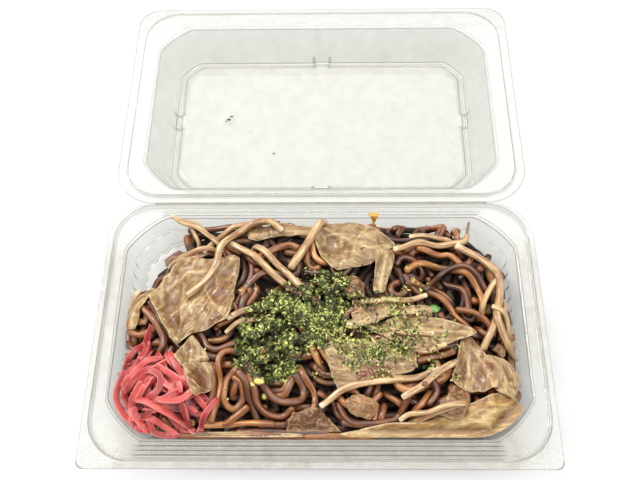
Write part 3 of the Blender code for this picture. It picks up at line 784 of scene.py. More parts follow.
NOODLE_RADIUS = 1.54
NOODLE_ROUTES = [
    # the bunch by the left wall
    [(-80, 17), (-82, 6), (-85, -1), (-80, -5), (-72, -1)],
    [(-69, 23), (-74, 22), (-77, 17), (-82, 15)],
    [(-85, -1), (-88, -2), (-86, -7), (-81, -12)],
    [(-76, 10), (-68, -3), (-60, -12)],
    [(-80, 8), (-74, 2), (-68, -8), (-70, -14)],
    # bends below the large leaf
    [(-60, 2), (-54, -8), (-52, -15), (-46, -19), (-38, -20)],
    [(-56, 0), (-50, -9), (-49, -11), (-44, -13), (-36, -10)],
    [(-58, -2), (-53, -12), (-48, -16), (-40, -17)],
    # loops at the front
    [(-45, -21), (-45, -28), (-46, -37), (-47, -43)],
    [(-34, -14), (-37, -14), (-41, -15), (-43, -19), (-42, -27), (-43, -35), (-45, -43)],
    [(-35, -22), (-39, -26), (-40, -31), (-40, -35), (-37, -38), (-34, -37), (-32, -33),
     (-33, -28), (-36, -26)],
    [(-34, -24), (-31, -28), (-29, -35), (-26, -42)],
    [(-30, -24), (-27, -31), (-26, -36), (-22, -40), (-15, -41), (-11, -38)],
    [(-31, -21), (-29, -24), (-23, -30), (-18, -35), (-11, -36), (-7, -34), (-7, -29),
     (-10, -25)],
    [(-8, -22), (-6, -26), (-2, -32), (-2, -38), (-5, -41)],
    [(-48, -48), (-45, -47), (-38, -45), (-30, -44), (-23, -44), (-19, -45)],
    [(-40, -46), (-37, -43), (-30, -38)],
    [(-25, -46), (-20, -48), (-15, -47), (-12, -43)],
    [(0, -32), (6, -35), (8, -40), (14, -43)],
    [(23, -43.5), (25, -36)],
    [(26, -42.5), (27.5, -36)],
    [(28, -31), (32, -34), (36, -37.5)],
    [(40, -39), (43.5, -36), (47, -31)],
    [(46, -37), (49.5, -32), (48, -27.5)],
    [(8, -36), (10.4, -41), (13.6, -43.5), (19, -44.6), (28, -43.4), (32.4, -42), (35.4, -38),
     (37.5, -34)],
    [(8, -33), (11, -36.5), (16, -38), (21, -36.5), (26, -32)],
    [(10, -43.5), (18, -45.3), (28, -45), (37, -44.8)],
    [(42, -16), (49, -13), (60, -10.7)],
    [(42, -18.6), (51, -16), (58, -14)],
    # at the back
    [(-30, 30), (-23, 35), (-15, 39), (-10, 37)],
    # coils at the right
    [(35, 28), (38, 32), (44, 30), (47, 25), (44, 21), (40, 22)],
    [(45, 36), (54, 34), (60, 34), (65, 29)],
    [(38, 21), (41, 16), (46, 11)],
    [(49, 22), (52, 17), (56, 14), (60, 10)],
    [(41, 17), (46, 16), (53, 13), (58, 8), (61, 3), (66, -1)],
    [(56, 22), (58, 19), (64, 16), (66, 10), (66, 4)],
    [(39, 23), (45, 28), (55, 28), (66, 25), (71, 19), (73, 10), (71, 2)],
    [(47, 14), (51, 19), (57, 25), (65, 27), (71, 23), (75, 16)],
    [(61, 6), (68, 4), (74, 0), (76, -5), (72, -5), (69, -1)],
    [(73, 27), (76, 31), (81, 41)],
]
FRONT_ROUTES = [
    # against the front wall, one above the other
    [(-58, -49), (-37, -50), (-20, -49.5), (-6, -50)],
    [(-22, -49), (-8, -50), (6, -49.5), (22, -50)],
    [(-52, -47.5), (-38, -48.5), (-28, -47.5), (-16, -48.5)],
    [(-34, -47), (-20, -46.6), (-8, -47.5), (4, -47)],
]


def wander(rng, place, length, curl):
    """A noodle's route seen from above, curling this way and that."""
    count = int(length / 1.2)
    s = np.arange(count) * 1.2
    bend = np.zeros(count)
    for _ in range(4):
        wave = rng.uniform(16, 70)
        bend += rng.normal() * np.sin(2 * np.pi * s / wave + rng.uniform(0, 7))
    heading = rng.uniform(0, 2 * np.pi) + np.cumsum(bend * curl * 1.2)
    steps = np.stack([np.cos(heading), np.sin(heading)], axis=1) * 1.2
    return resample(push_inside(place + np.cumsum(steps, axis=0), 0.4), 1.2)


def along_wall(rng, length):
    """A noodle's route that follows the wall some way, at a changing distance from it."""
    angle = rng.uniform(0, 2 * np.pi) + np.linspace(0, length / 75, int(length / 1.5))
    depth = rng.uniform(0.3, 8.0) + rng.uniform(0.3, 1.6) * np.sin(
        angle * rng.uniform(3, 9) + rng.uniform(0, 7))
    ray = np.stack([np.cos(angle) * 130, np.sin(angle) * 85], axis=1)
    middle = np.array([0, 3.4])
    inner, outer = np.zeros(len(angle)), np.ones(len(angle))
    for _ in range(12):
        share = (inner + outer) / 2
        at = middle + ray * share[:, None]
        over = wall_distance(at[:, 0], at[:, 1]) > -np.maximum(depth, 0.3)
        outer, inner = np.where(over, share, outer), np.where(over, inner, share)
    return resample(middle + ray * inner[:, None], 1.2)


def beside(route, gap):
    ahead = np.gradient(route, axis=0)
    ahead /= np.maximum(np.linalg.norm(ahead, axis=1, keepdims=True), 1e-9)
    return route + np.stack([-ahead[:, 1], ahead[:, 0]], axis=1) * gap


def add_noodle(pile, heap, target, route, rng, radius=None):
    radius = radius or NOODLE_RADIUS * rng.uniform(0.9, 1.08)
    points = heap.lay(route, radius)
    heap.add(points, radius)
    s = np.arange(len(points))
    wide = radius * (1 + 0.05 * np.sin(s / rng.uniform(3, 8) + rng.uniform(0, 7)))
    twist = np.cumsum(rng.normal(0, 0.05, len(s))) + rng.uniform(0, 3)
    verts, quads, caps, marks = tube(points, wide, radius * rng.uniform(0.82, 0.96), 10, 2.5,
                                     twist)
    i, j = heap.cell(verts)
    # Painted shade, with some sauce: strands lying further below the heap's top get darker, for the
    # shade between them.
    deep = np.clip((np.nan_to_num(target[i, j], nan=12.0) + 1.0 - verts[:, 2]) / 9, 0, 1)
    pile.add(verts, quads, caps, tone=rng.uniform(0, 1), deep=deep, **marks)


def noodle_look():
    made = Nodes("fried_noodle_look")
    streak = made.fibre(1.7, 5.0)
    patch = made.noise(75.0, 2.0)
    shade = made.plus(made.times(streak, 0.9), made.times(patch, 0.25))
    shade = made.plus(shade, made.times(made.attribute("tone"), 0.32))
    color = made.ramp(made.spread(shade, 0.47, 1.03), [
        (0.0, srgb(34, 14, 6)), (0.25, srgb(78, 38, 17)), (0.55, srgb(128, 74, 35)),
        (0.8, srgb(166, 109, 58)), (1.0, srgb(206, 154, 94))])
    # Painted shade, with some sauce: what lies deep in the heap, and the whole core, darkens to
    # black-brown.
    dark = made.spread(made.attribute("deep"), 0.0, 0.4)
    color = made.mix(made.times(dark, 0.94), color, srgb(20, 9, 5))
    shine = made.times(made.math("SUBTRACT", 1.0, dark), 0.45)
    dry = made.times(dark, 0.8)
    rough = made.math("MAXIMUM", made.spread(streak, 0.3, 0.7, 0.24, 0.42), dry)
    made.set(Base_Color=color, Roughness=rough, Subsurface_Weight=0.08, Subsurface_Scale=0.001,
             Coat_Weight=shine, Coat_Roughness=0.16)
    made.bump(streak, 0.6, 0.0007)
    return made.material


def spread_edges(values, rounds):
    """Fill gaps (NaN) in a grid from the cells beside them."""
    out = values.copy()
    for _ in range(rounds):
        near = np.fmax(np.fmax(np.roll(out, 1, 0), np.roll(out, -1, 0)),
                       np.fmax(np.roll(out, 1, 1), np.roll(out, -1, 1)))
        out = np.where(np.isnan(out), near, out)
    return out


def widen(values, rounds):
    """Spread a grid's high places outward."""
    out = values
    for _ in range(rounds):
        out = np.maximum(np.maximum(np.roll(out, 1, 0), np.roll(out, -1, 0)),
                         np.maximum(np.maximum(np.roll(out, 1, 1), np.roll(out, -1, 1)), out))
    return out


CORE_INSET = 8.0        # from the wall to the core
STRAND_DEPTH = 7.0      # of real strands above the core


def core_height(heap, target):
    """The smaller core: the heap less the depth of the real strands."""
    inset = np.clip(-wall_distance(heap.x, heap.y) - CORE_INSET, 0, 40)
    return np.minimum(np.nan_to_num(target, nan=6.0) - STRAND_DEPTH, inset * 1.5)


def add_core(heap, target, look):
    """The core's relief, as one closed piece on the tray's floor."""
    every = 3
    x, y = heap.x[::every, ::every], heap.y[::every, ::every]
    z = core_height(heap, target)[::every, ::every]
    z = z + 0.7 * random_field(x, y, 4.0, 5) + 0.4 * random_field(x, y, 2.0, 6)
    inside = (wall_distance(x, y) < -CORE_INSET) & (z > 2.0)
    rows, columns = x.shape
    top = np.stack([x, y, z], axis=-1).reshape(-1, 3)
    bottom = top.copy()
    bottom[:, 2] = 0.95
    cells = inside[:-1, :-1] & inside[1:, :-1] & inside[:-1, 1:] & inside[1:, 1:]
    faces = grid_faces(rows, columns, closed=False)[:, ::-1].reshape(rows - 1, columns - 1, 4)
    kept = faces[cells]
    total = rows * columns
    skirt = np.array([(b, a, a + total, b + total) for a, b in border_edges(kept)])
    verts = np.vstack([top, bottom])
    quads = np.vstack([kept, kept[:, ::-1] + total, skirt])
    used = np.unique(quads)
    place = np.zeros(len(verts), dtype=int)
    place[used] = np.arange(len(used))
    verts = verts[used]
    # The core is given the full painted crevice shade.
    core = add_piece("noodle_core", verts, place[quads], look, "tray", values={
        "deep": np.ones(len(verts)), "tone": np.zeros(len(verts)), "path": verts * 0.3})
    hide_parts("noodles")


STRAND_GAP = 3.3        # between the noodles of a bundle, centre to centre
LOW_CORNERS = [
    # middle, half sizes and depth of the low places in the heap's back corners
    (-88, 42, 26, 22, 14), (86, 50, 20, 18, 12),
]


def heap_heights(heap, target):
    """How high the noodles go: the solid's top, raised at the front and lower behind."""
    full = np.nan_to_num(spread_edges(target, 14), nan=4.0) - 0.8
    full = full + 1.6 * np.clip((wall_distance(heap.x, heap.y) + 7) / 4, 0, 1)
    full = full + 2.5 * np.clip((-40 - heap.y) / 5, 0, 1)
    for x, y, half_x, half_y, depth in LOW_CORNERS:
        corner = np.hypot((heap.x - x) / half_x, (heap.y - y) / half_y)
        full = full - depth * np.clip(1.25 - corner, 0, 1)
    full = full - 4.0 * np.clip((heap.y - 38) / 10, 0, 1)
    return full - 9.0 * np.clip((heap.x - 79) / 4, 0, 1) * np.clip((heap.y + 12) / 8, 0, 1)


def deepest_route(rng, heap, goal, inside, curl, short, long):
    """Of 14 routes tried, the one furthest below the goal, and its height over the goal."""
    best, best_gap = None, 1e9
    lack = np.where(inside, goal - heap.top, 0).clip(0) ** 2
    spots = rng.choice(lack.size, 14, p=(lack / lack.sum()).ravel())
    for number, spot in enumerate(spots):
        length = rng.uniform(short, long)
        place = np.array([heap.x.flat[spot], heap.y.flat[spot]])
        if number % 3 == 2:
            route = along_wall(rng, length)
        else:
            route = wander(rng, place, length, curl)
            route = route + place - route[len(route) // 2]
            route = resample(push_inside(route, 0.4), 1.2)
        cells = heap.cell(route)
        gap = heap.top[cells] - goal[cells]
        gap = gap.mean() + 0.9 * np.maximum(gap + 1.0, 0).max()
        if gap < best_gap:
            best, best_gap = route, gap
    return best, best_gap


def fill(rng, pile, heap, target, goal, inside, bundles, limit, curl, short, long):
    """Bundles of one to three noodles side by side, where there is room below the goal."""
    for _ in range(bundles):
        best, best_gap = deepest_route(rng, heap, goal, inside, curl, short, long)
        if best_gap > limit:
            continue
        for k in range(rng.randint(1, 4)):
            aside = STRAND_GAP * k + rng.normal(0, 0.25)
            strand = resample(push_inside(beside(best, aside), 0.4, 3.0), 1.2)
            cells = heap.cell(strand)
            room = goal[cells] - heap.top[cells]
            if k == 0 or room.mean() > 2.2:
                low = np.flatnonzero(room > -1.5)
                if len(low) > 12:
                    add_noodle(pile, heap, target, strand[low[0]:low[-1] + 1], rng)


def add_noodles(heap, target):
    """The core, the strands that fill up the heap and last the traced ones, on top."""
    rng = np.random.RandomState(11)
    look = noodle_look()
    routes = [push_inside(smooth_route(points, 1.1), -2.0, 1.0) for points in FRONT_ROUTES]
    routes += [push_inside(smooth_route(points, 1.1), 1.9, 2.0) for points in NOODLE_ROUTES]
    above = Heap()
    above.top = above.top * 0
    for route in routes:
        above.add(above.lay(route, NOODLE_RADIUS), NOODLE_RADIUS)
    goal = heap_heights(heap, target) - np.minimum(widen(above.top, 1), 12.0)
    add_core(heap, goal, look)
    distance = wall_distance(heap.x, heap.y)
    core = np.where(distance < -CORE_INSET, core_height(heap, goal), 0)
    heap.top = np.maximum(heap.top, core)
    inside = distance < -1.0
    pile = Pile()
    fill(rng, pile, heap, target, goal, inside, 60, -2.6, 0.075, 60, 170)
    pile.make("noodles_below", look, "noodles", "fried_noodle")
    pile = Pile()
    fill(rng, pile, heap, target, goal, inside, 90, -2.0, 0.1, 24, 80)
    fill(rng, pile, heap, target, goal, inside, 90, -1.4, 0.12, 16, 44)
    for route in routes:
        add_noodle(pile, heap, target, route, rng, NOODLE_RADIUS * rng.uniform(0.92, 1.05))
    pile.make("noodles_above", look, "noodles", "fried_noodle")


# ---------------------------------------------------------------- ginger

GINGER_TRIES = 190      # strips laid below the traced ones, where there is room
GINGER_OUTLINE = [(-86, -38), (-88, -30), (-85, -20), (-76, -13), (-64, -14), (-54, -24),
                  (-49, -34), (-51, -45), (-60, -48), (-72, -48), (-81, -43)]
GINGER_ROUTES = [
    [(-75, -10.6), (-76, -15), (-77, -19), (-77, -21.5)],
    [(-73.6, -11), (-73.7, -16), (-74.3, -21)],
    [(-57.4, -37), (-56, -40), (-55.3, -43.5)],
    [(-80.7, -44), (-76.5, -46.6), (-72.5, -48.7)],
    [(-71, -46), (-68, -48), (-63, -48.7), (-59, -49.3)],
    [(-72.6, -44), (-75, -47), (-78, -46.6)],
    [(-79.6, -36.4), (-77.5, -41.5), (-73.6, -45), (-72.6, -48)],
    [(-78, -36.8), (-79.3, -40.8), (-80.4, -43.5)],
    [(-74, -2), (-77, -8), (-82, -14), (-85, -20), (-87, -26.4), (-88, -32.5), (-86.6, -37),
     (-83, -41.6), (-79, -45)],
    [(-66.4, -26.8), (-64.3, -29.6), (-61.3, -32.4), (-63.8, -35.2)],
    [(-69, -35.4), (-65.6, -36.4), (-62, -35), (-58, -33)],
    [(-68.5, -21.5), (-65, -24), (-60.6, -27), (-58.5, -29.6), (-57.3, -33.6)],
    [(-66.5, -23), (-62, -25.6), (-57, -28.8), (-52, -31.6)],
    [(-66, -14), (-63.8, -18.6), (-59.4, -23), (-55.5, -27), (-52, -31)],
    [(-62.4, -14.4), (-60, -19.8), (-57, -24.4), (-52.5, -30)],
    [(-64.4, -14.4), (-62, -19), (-58.6, -24), (-54, -29.6)],
    [(-82, -31), (-79, -27), (-76.7, -24.8), (-72.8, -23.6), (-69, -24.8), (-66.5, -27),
     (-66.6, -31), (-69.3, -34.4), (-72.7, -35.6)],
    [(-67.4, -18), (-72.5, -19), (-77, -22), (-79.7, -25.6), (-82.8, -29), (-84.6, -31)],
    [(-69, -26.8), (-72, -30.5), (-74.5, -33)],
    [(-75, -28), (-77.4, -32), (-79.8, -35), (-80, -39), (-78.6, -42)],
    [(-73, -30), (-75, -33), (-77.4, -35)],
    [(-66.7, -37), (-62, -37), (-57.5, -36.4), (-53.8, -33.6), (-52, -32)],
    [(-76.4, -40.6), (-71.7, -42), (-66.8, -44), (-62.7, -46.4), (-58.6, -49.6)],
    [(-78, -34.7), (-72, -36.8), (-66.5, -39.6), (-60.8, -42), (-55, -45), (-51.6, -48.6)],
    [(-42.7, -34.4), (-46, -39), (-49, -43.8), (-51, -48.8)],
]


def ginger_look():
    made = Nodes("pickled_ginger_look")
    streak = made.fibre(1.8, 4.0)
    shade = made.plus(made.times(streak, 0.75), made.times(made.attribute("tone"), 0.4))
    color = made.ramp(shade, [(0.25, srgb(116, 26, 28)), (0.5, srgb(168, 52, 49)),
                              (0.75, srgb(198, 80, 73)), (1.0, srgb(228, 140, 132))])
    # Painted highlight: the strips' flanks are lightened to pale pink.
    edge = made.spread(made.attribute("side"), 0.45, 0.72, 0.0, 0.5)
    color = made.mix(edge, color, srgb(234, 146, 138))
    # Painted shade: strips lying below the pile's top darken to deep red.
    dark = made.spread(made.attribute("deep"), 0.05, 0.55)
    color = made.mix(made.times(dark, 0.8), color, srgb(88, 16, 20))
    made.set(Base_Color=color, Roughness=0.36, Subsurface_Weight=0.2,
             Subsurface_Radius=(1.0, 0.35, 0.3), Subsurface_Scale=0.0012, Coat_Weight=0.12)
    made.bump(streak, 0.6, 0.0008)
    return made.material


def add_ginger(heap):
    rng = np.random.RandomState(5)
    target = spread_edges(tops_of("pickled_ginger", heap), 6)
    edge = np.array(GINGER_OUTLINE, dtype=float)
    middle = edge.mean(axis=0)
    pile = Pile()

    def strip(route, half):
        points = heap.lay(route, half * 0.62, 16)
        room = lid_room(route[:, 0], route[:, 1], half * 1.15) - half * 0.7
        points[:, 2] = np.minimum(points[:, 2], room)
        heap.add(points, half * 0.75)
        s = np.linspace(0, 1, len(points))
        taper = np.clip(np.minimum(s, 1 - s) * 14, 0.6, 1)
        twist = rng.normal(0, 0.3) + rng.normal(0, 0.5) * s
        verts, quads, caps, marks = tube(points, half * taper, half * 0.42 * np.sqrt(taper), 12,
                                         4.5, twist)
        i, j = heap.cell(verts)
        # Painted shade: how far each part of a strip lies below the pile's top.
        deep = np.clip((np.nan_to_num(target[i, j], nan=14.0) + 1.0 - verts[:, 2]) / 5, 0, 1)
        pile.add(verts, quads, caps, tone=rng.uniform(0, 1), deep=deep, **marks)

    for _ in range(GINGER_TRIES):
        best, best_gap = None, 1e9
        for _ in range(8):
            k = rng.randint(len(edge))
            share = np.sqrt(rng.uniform(0, 0.8))
            part = rng.uniform()
            place = middle + (edge[k] * part + edge[k - 1] * (1 - part) - middle) * share
            heading = rng.uniform(0, np.pi)
            length, bow = rng.uniform(16, 42), rng.normal(0, 0.05)
            s = np.arange(-length / 2, length / 2, 1.2)
            angle = heading + bow * s
            step = np.stack([np.cos(angle), np.sin(angle)], axis=1) * 1.2
            route = place + np.cumsum(step, axis=0) - step.sum(axis=0) / 2
            cells = heap.cell(route)
            goal = target[cells]
            if np.isnan(goal).mean() > 0.12:
                continue
            gap = np.nanmean(heap.top[cells] - goal) + 2.8
            if gap < best_gap:
                best, best_gap = route, gap
        if best is None or best_gap > -0.6:
            continue
        strip(resample(push_inside(best, -1.2, 1.5), 1.1), rng.uniform(1.0, 1.45))
    for points in GINGER_ROUTES:
        strip(push_inside(smooth_route(points, 1.0), -1.8, 1.0), rng.uniform(1.2, 1.5))
    pile.make("ginger_strips", ginger_look(), "pickled_ginger", "pickled_ginger")


# ---------------------------------------------------------------- leaves, meat, sprouts

def inside_outline(x, y, edge):
    odd = np.zeros(x.shape, dtype=bool)
    for (x0, y0), (x1, y1) in zip(edge, np.roll(edge, -1, axis=0)):
        if y0 == y1:
            continue
        crossing = (y0 > y) != (y1 > y)
        odd ^= crossing & (x < (x1 - x0) * (y - y0) / (y1 - y0) + x0)
    return odd


def distance_to_line(xy, line):
    """Distance from each place to a polyline."""
    best = np.full(len(xy), 1e9)
    for a, b in zip(line[:-1], line[1:]):
        along = b - a
        t = np.clip(((xy - a) @ along) / max(along @ along, 1e-9), 0, 1)
        best = np.minimum(best, np.linalg.norm(xy - a - t[:, None] * along, axis=1))
    return best


def flat_mesh(outline_points, spacing, seed):
    """Triangles filling an outline, from an even grid with a little unevenness."""
    edge = resample(np.vstack([outline_points, outline_points[:1]]), spacing)[:-1]
    low, high = edge.min(axis=0), edge.max(axis=0)
    rows = np.arange(low[1] + spacing / 2, high[1], spacing * 0.87)
    spots = []
    for number, y in enumerate(rows):
        xs = np.arange(low[0] + spacing * (0.25 + 0.5 * (number % 2)), high[0], spacing)
        spots.append(np.stack([xs, np.full(len(xs), y)], axis=1))
    spots = np.vstack(spots) if spots else np.zeros((0, 2))
    rng = np.random.RandomState(seed)
    spots += rng.uniform(-0.12, 0.12, spots.shape) * spacing
    loop = np.vstack([edge, edge[:1]])
    keep = inside_outline(spots[:, 0], spots[:, 1], edge)
    keep &= distance_to_line(spots, loop) > spacing * 0.55
    points = np.vstack([edge, spots[keep]])
    count = len(edge)
    borders = [(k, (k + 1) % count) for k in range(count)]
    out = delaunay_2d_cdt([Vector(p) for p in points], borders, [], 1, 1e-5)
    xy = np.array([tuple(v) for v in out[0]])
    tris = np.array([tuple(f) for f in out[2] if len(f) == 3])
    a, b, c = xy[tris[:, 0]], xy[tris[:, 1]], xy[tris[:, 2]]
    area = (b[:, 0] - a[:, 0]) * (c[:, 1] - a[:, 1]) - (b[:, 1] - a[:, 1]) * (c[:, 0] - a[:, 0])
    tris[area < 0] = tris[area < 0][:, ::-1]
    return xy, tris, loop


def relax(heights, need, tris, rounds):
    """Even out heights over a mesh, never going below what is needed."""
    pairs = np.vstack([tris[:, [0, 1]], tris[:, [1, 2]], tris[:, [2, 0]]])
    pairs = np.unique(np.sort(pairs, axis=1), axis=0)
    degree = np.bincount(pairs.ravel(), minlength=len(heights))
    out = heights.copy()
    for _ in range(rounds):
        total = np.bincount(pairs[:, 0], out[pairs[:, 1]], len(out))
        total += np.bincount(pairs[:, 1], out[pairs[:, 0]], len(out))
        out = np.maximum(need, 0.4 * out + 0.6 * total / np.maximum(degree, 1))
    return out


def thin_solid(xy, tris, middle, half):
    """Upper and lower sides of a thin piece, joined round its border."""
    count = len(xy)
    verts = np.vstack([np.column_stack([xy, middle + half]), np.column_stack([xy, middle - half])])
    sides = np.array([(b, a, a + count, b + count) for a, b in border_edges(tris)])
    return verts, sides, np.vstack([tris, tris[:, ::-1] + count])


def waves_and_creases(level, x, y, wave, wave_size, seed):
    """A leaf's heights with broad and fine waves, and sharp creases of two sizes."""
    level = level + 0.8 * wave * (0.5 + 0.5 * random_field(x, y, wave_size, seed + 2))
    level += 0.22 * wave * random_field(x, y, wave_size * 0.4, seed + 3)
    for size, sharp, high, extra in ((8.0, 3.2, 1.0, 5), (4.5, 2.4, 0.35, 7)):
        crease = 1 - np.abs(random_field(x, y, size, seed + extra)) * sharp
        level += high * wave * np.clip(crease, 0, 1) ** 1.5
    return level + 0.12 * wave * random_field(x, y, 1.7, seed + 6)


RIB = 0.35              # how far a vein stands up


def lay_slab(heap, pile, points, seed, thickness=0.8, stiff=30, wave=0.8, wave_size=7.0,
             curl=1.2, veins=(), dome=0.0, ragged=0.7, spacing=0.85, spots=(),
             margin=-0.4, **values):
    """One flat topping: it settles on the heap, with waves, veins and a curled rim."""
    corners = np.array(points, dtype=float)
    rough = 0.45 * smooth_route(points, 1.0, closed=True)
    flat = resample(np.vstack([corners, corners[:1]]), 0.5)[:-1]
    near = [np.linalg.norm(flat - spot / 0.45, axis=1).argmin() for spot in rough]
    rough = rough + 0.55 * flat[near]
    middle = rough.mean(axis=0)
    angle = np.arange(len(rough)) * 1.0
    push = ragged * (random_field(angle, angle * 0, 3.1, seed)
                     + 0.6 * random_field(angle, angle * 0, 1.5, seed + 1))
    out = (rough - middle) / np.maximum(np.linalg.norm(rough - middle, axis=1, keepdims=True), 1)
    shape = push_inside(rough + out * push[:, None], margin, 1.0)
    xy, tris, loop = flat_mesh(shape, spacing, seed)
    rim = distance_to_line(xy, loop)
    half = 0.5 * thickness * (0.3 + 0.7 * np.clip(rim / 1.6, 0, 1))
    need = heap.rest(xy, 0.8) - 0.8 + half
    level = relax(need, need, tris, stiff)
    x, y = xy[:, 0], xy[:, 1]
    level = waves_and_creases(level, x, y, wave, wave_size, seed)
    lift = np.clip(random_field(x, y, 9.0, seed + 4) + 0.25, 0, 1)
    level += curl * lift * np.exp(-rim / 2.2)
    level += dome * np.clip(rim / (rim.max() + 1e-6), 0, 1) ** 0.6
    vein = np.zeros(len(xy))
    for route, width in veins:
        near = distance_to_line(xy, smooth_route(route, 1.5))
        vein = np.maximum(vein, np.exp(-(near / width) ** 2))
    level = np.maximum(level + RIB * vein, need)
    level = np.minimum(level, lid_room(x, y, half) - half - 0.3 * RIB)
    # How far each place lies below its smoothed surroundings, for painted shade in the hollows.
    low = np.clip((relax(level, level * 0 - 99, tris, 12) - level) * 1.8, 0, 1)
    verts, sides, faces = thin_solid(xy, tris, level, half + 0.3 * RIB * vein)
    heap.add(np.column_stack([xy, level + half]), 0.9, round_top=False)
    main = veins[0][0] if veins else (points[0], points[len(points) // 2])
    lead = np.array(main[-1], dtype=float) - main[0]
    lead /= np.linalg.norm(lead)
    bent = xy + 1.2 * np.stack([random_field(x, y, 8.0, seed + 8),
                                random_field(x, y, 8.0, seed + 9)], axis=1)
    path = np.column_stack([bent @ (-lead[1], lead[0]) * 0.5, bent @ lead * 0.09, level * 0.1])
    spot = np.zeros(len(xy))
    for a, b, radius, strength in spots:
        far = np.hypot(bent[:, 0] - a, bent[:, 1] - b) / radius
        spot = np.maximum(spot, strength * np.exp(-far ** 2))
    both = {"vein": np.tile(vein, 2), "rim": np.tile(rim, 2), "low": np.tile(low, 2),
            "spot": np.tile(spot, 2), "path": np.tile(path, (2, 1))}
    pile.add(verts, sides, faces, **both, **values)
    return level.max()


CABBAGE = [
    # outline, veins (route, width), brown spots (x, y, radius, strength), hue from cream 0 to
    # green-grey 1, mottling, thickness, curl
    ([(-76, 12), (-62, -11), (-52, -5), (-40, 0), (-38, 16), (-37, 32), (-50, 30), (-63, 30)],
     [([(-40, 30), (-52, 16), (-60, 2), (-62, -9)], 0.8), ([(-46, 24), (-60, 22), (-70, 16)], 0.6),
      ([(-52, 16), (-46, 6), (-42, 2)], 0.6), ([(-56, 10), (-66, 4)], 0.5)],
     [(-61, 0, 4.5, 1.2), (-47, 14, 5.5, 1.2), (-54, -7, 3.0, 1.0), (-45, 1, 4.0, 1.1),
      (-43, 25, 4.0, 0.8), (-52, 6, 3.0, 0.8), (-68, 8, 3.0, 0.6)], 0.75, 0.45, 0.9, 1.6),
    ([(-3, 45), (2, 52), (11, 52), (20, 50), (32, 42), (35, 38), (23, 28), (8, 25), (1, 31)],
     [([(2, 50), (12, 42), (22, 36), (32, 38)], 0.9), ([(10, 43), (10, 34), (12, 28)], 0.6),
      ([(16, 40), (22, 47)], 0.5)], [(4, 32, 3.5, 0.4), (26, 38, 3.0, 0.4)],
     0.35, 0.25, 0.9, 1.8),
    ([(26, 34), (34, 32), (29, 14), (24, 14)], [([(30, 32), (27, 15)], 0.9)],
     [(28, 18, 2.5, 0.5)], 0.3, 0.2, 1.6, 0.6),
    ([(2, -12), (8, -31), (24, -27), (41, -22), (39, -8), (20, -9)],
     [([(4, -14), (20, -18), (38, -16)], 0.8), ([(14, -17), (18, -26)], 0.6),
      ([(24, -17), (32, -10)], 0.5)], [(31, -13, 4.0, 0.6), (12, -24, 3.0, 0.4)],
     0.8, 0.4, 0.9, 1.6),
    ([(20, -2), (45, 3), (63, -2), (68, -6), (61, -10), (43, -14), (28, -8)],
     [([(22, -3), (44, -4), (66, -6)], 0.9), ([(40, -4), (50, 0)], 0.5),
      ([(44, -5), (54, -10)], 0.5)], [(36, -4, 4.0, 0.6), (56, -6, 3.5, 0.5)],
     0.3, 0.3, 1.3, 1.4),
    ([(62, -7), (58, -20), (56, -27), (64, -32), (75, -30), (77, -24), (71, -15), (66, -7)],
     [([(65, -8), (64, -20), (62, -30)], 0.8), ([(65, -10), (70, -20), (73, -29)], 0.7),
      ([(64, -14), (60, -22)], 0.5)], [(65, -13, 4.0, 0.9), (70, -22, 5.0, 0.8),
                                       (62, -24, 3.0, 0.6)], 0.45, 0.5, 0.9, 1.6),
    ([(72, -15), (82, -18), (86, -25), (82, -34), (74, -31)],
     [([(74, -16), (79, -24), (78, -32)], 0.7)], [(80, -26, 4.0, 0.7)], 0.3, 0.3, 0.8, 1.4),
    ([(56, -40), (66, -35), (80, -31), (87, -38), (82, -48), (66, -51), (44, -51), (22, -50.5),
      (8, -48), (28, -44.5), (44, -44)],
     [([(10, -47), (40, -47.5), (66, -43), (82, -36)], 0.9), ([(60, -42), (74, -46)], 0.6),
      ([(52, -46), (70, -38)], 0.5)], [(50, -45, 4.0, 0.4), (72, -46, 4.0, 0.4)],
     0.0, 0.3, 1.2, 1.8),
    ([(-77, 18), (-85, 11), (-87, -1), (-82, -2), (-79, 8), (-73, 15)],
     [([(-75, 16), (-82, 8), (-84, 0)], 0.7)], [(-80, 5, 2.5, 0.4)], 0.1, 0.2, 0.8, 1.2),
    ([(-62, -17), (-55, -8), (-47, -18), (-55, -24)], [([(-55, -9), (-55, -22)], 0.6)],
     [(-55, -14, 4.0, 0.6)], 0.4, 0.6, 1.0, 0.8),
    ([(-57, -22), (-46, -20), (-45, -31), (-52, -35)], [], [(-51, -27, 6.0, 0.8)],
     0.5, 0.7, 1.0, 0.6),
    ([(14, 4), (26, 9), (38, 8), (39, 5), (26, 4), (16, 0)], [([(15, 2), (38, 6)], 0.8)],
     [(20, 4, 2.5, 0.5)], 0.2, 0.25, 1.6, 0.5),
    ([(12, 0), (31, 5), (48, 7), (49, 3), (31, 1), (14, -4)], [([(13, -2), (48, 5)], 0.8)],
     [(40, 4, 3.0, 0.4)], 0.3, 0.25, 1.6, 0.5),
    ([(-34, 49), (-18, 50), (-2, 49), (-2, 44), (-18, 44), (-33, 43)],
     [([(-33, 46), (-2, 46)], 0.9)], [(-20, 47, 7.0, 0.8)], 0.5, 0.5, 1.2, 0.8),
    ([(-52, -47.5), (-30, -47), (-8, -48), (-8, -50), (-30, -51), (-52, -50)],
     [([(-50, -49), (-10, -49)], 0.7)], [(-30, -49, 5.0, 0.5)], 0.3, 0.4, 0.8, 0.3),
]
CABBAGE_NODES = [f"cabbage_{k:02d}" for k in range(1, 12)]
CABBAGE_NODES += [f"cabbage_strip_{k}" for k in range(1, 4)]
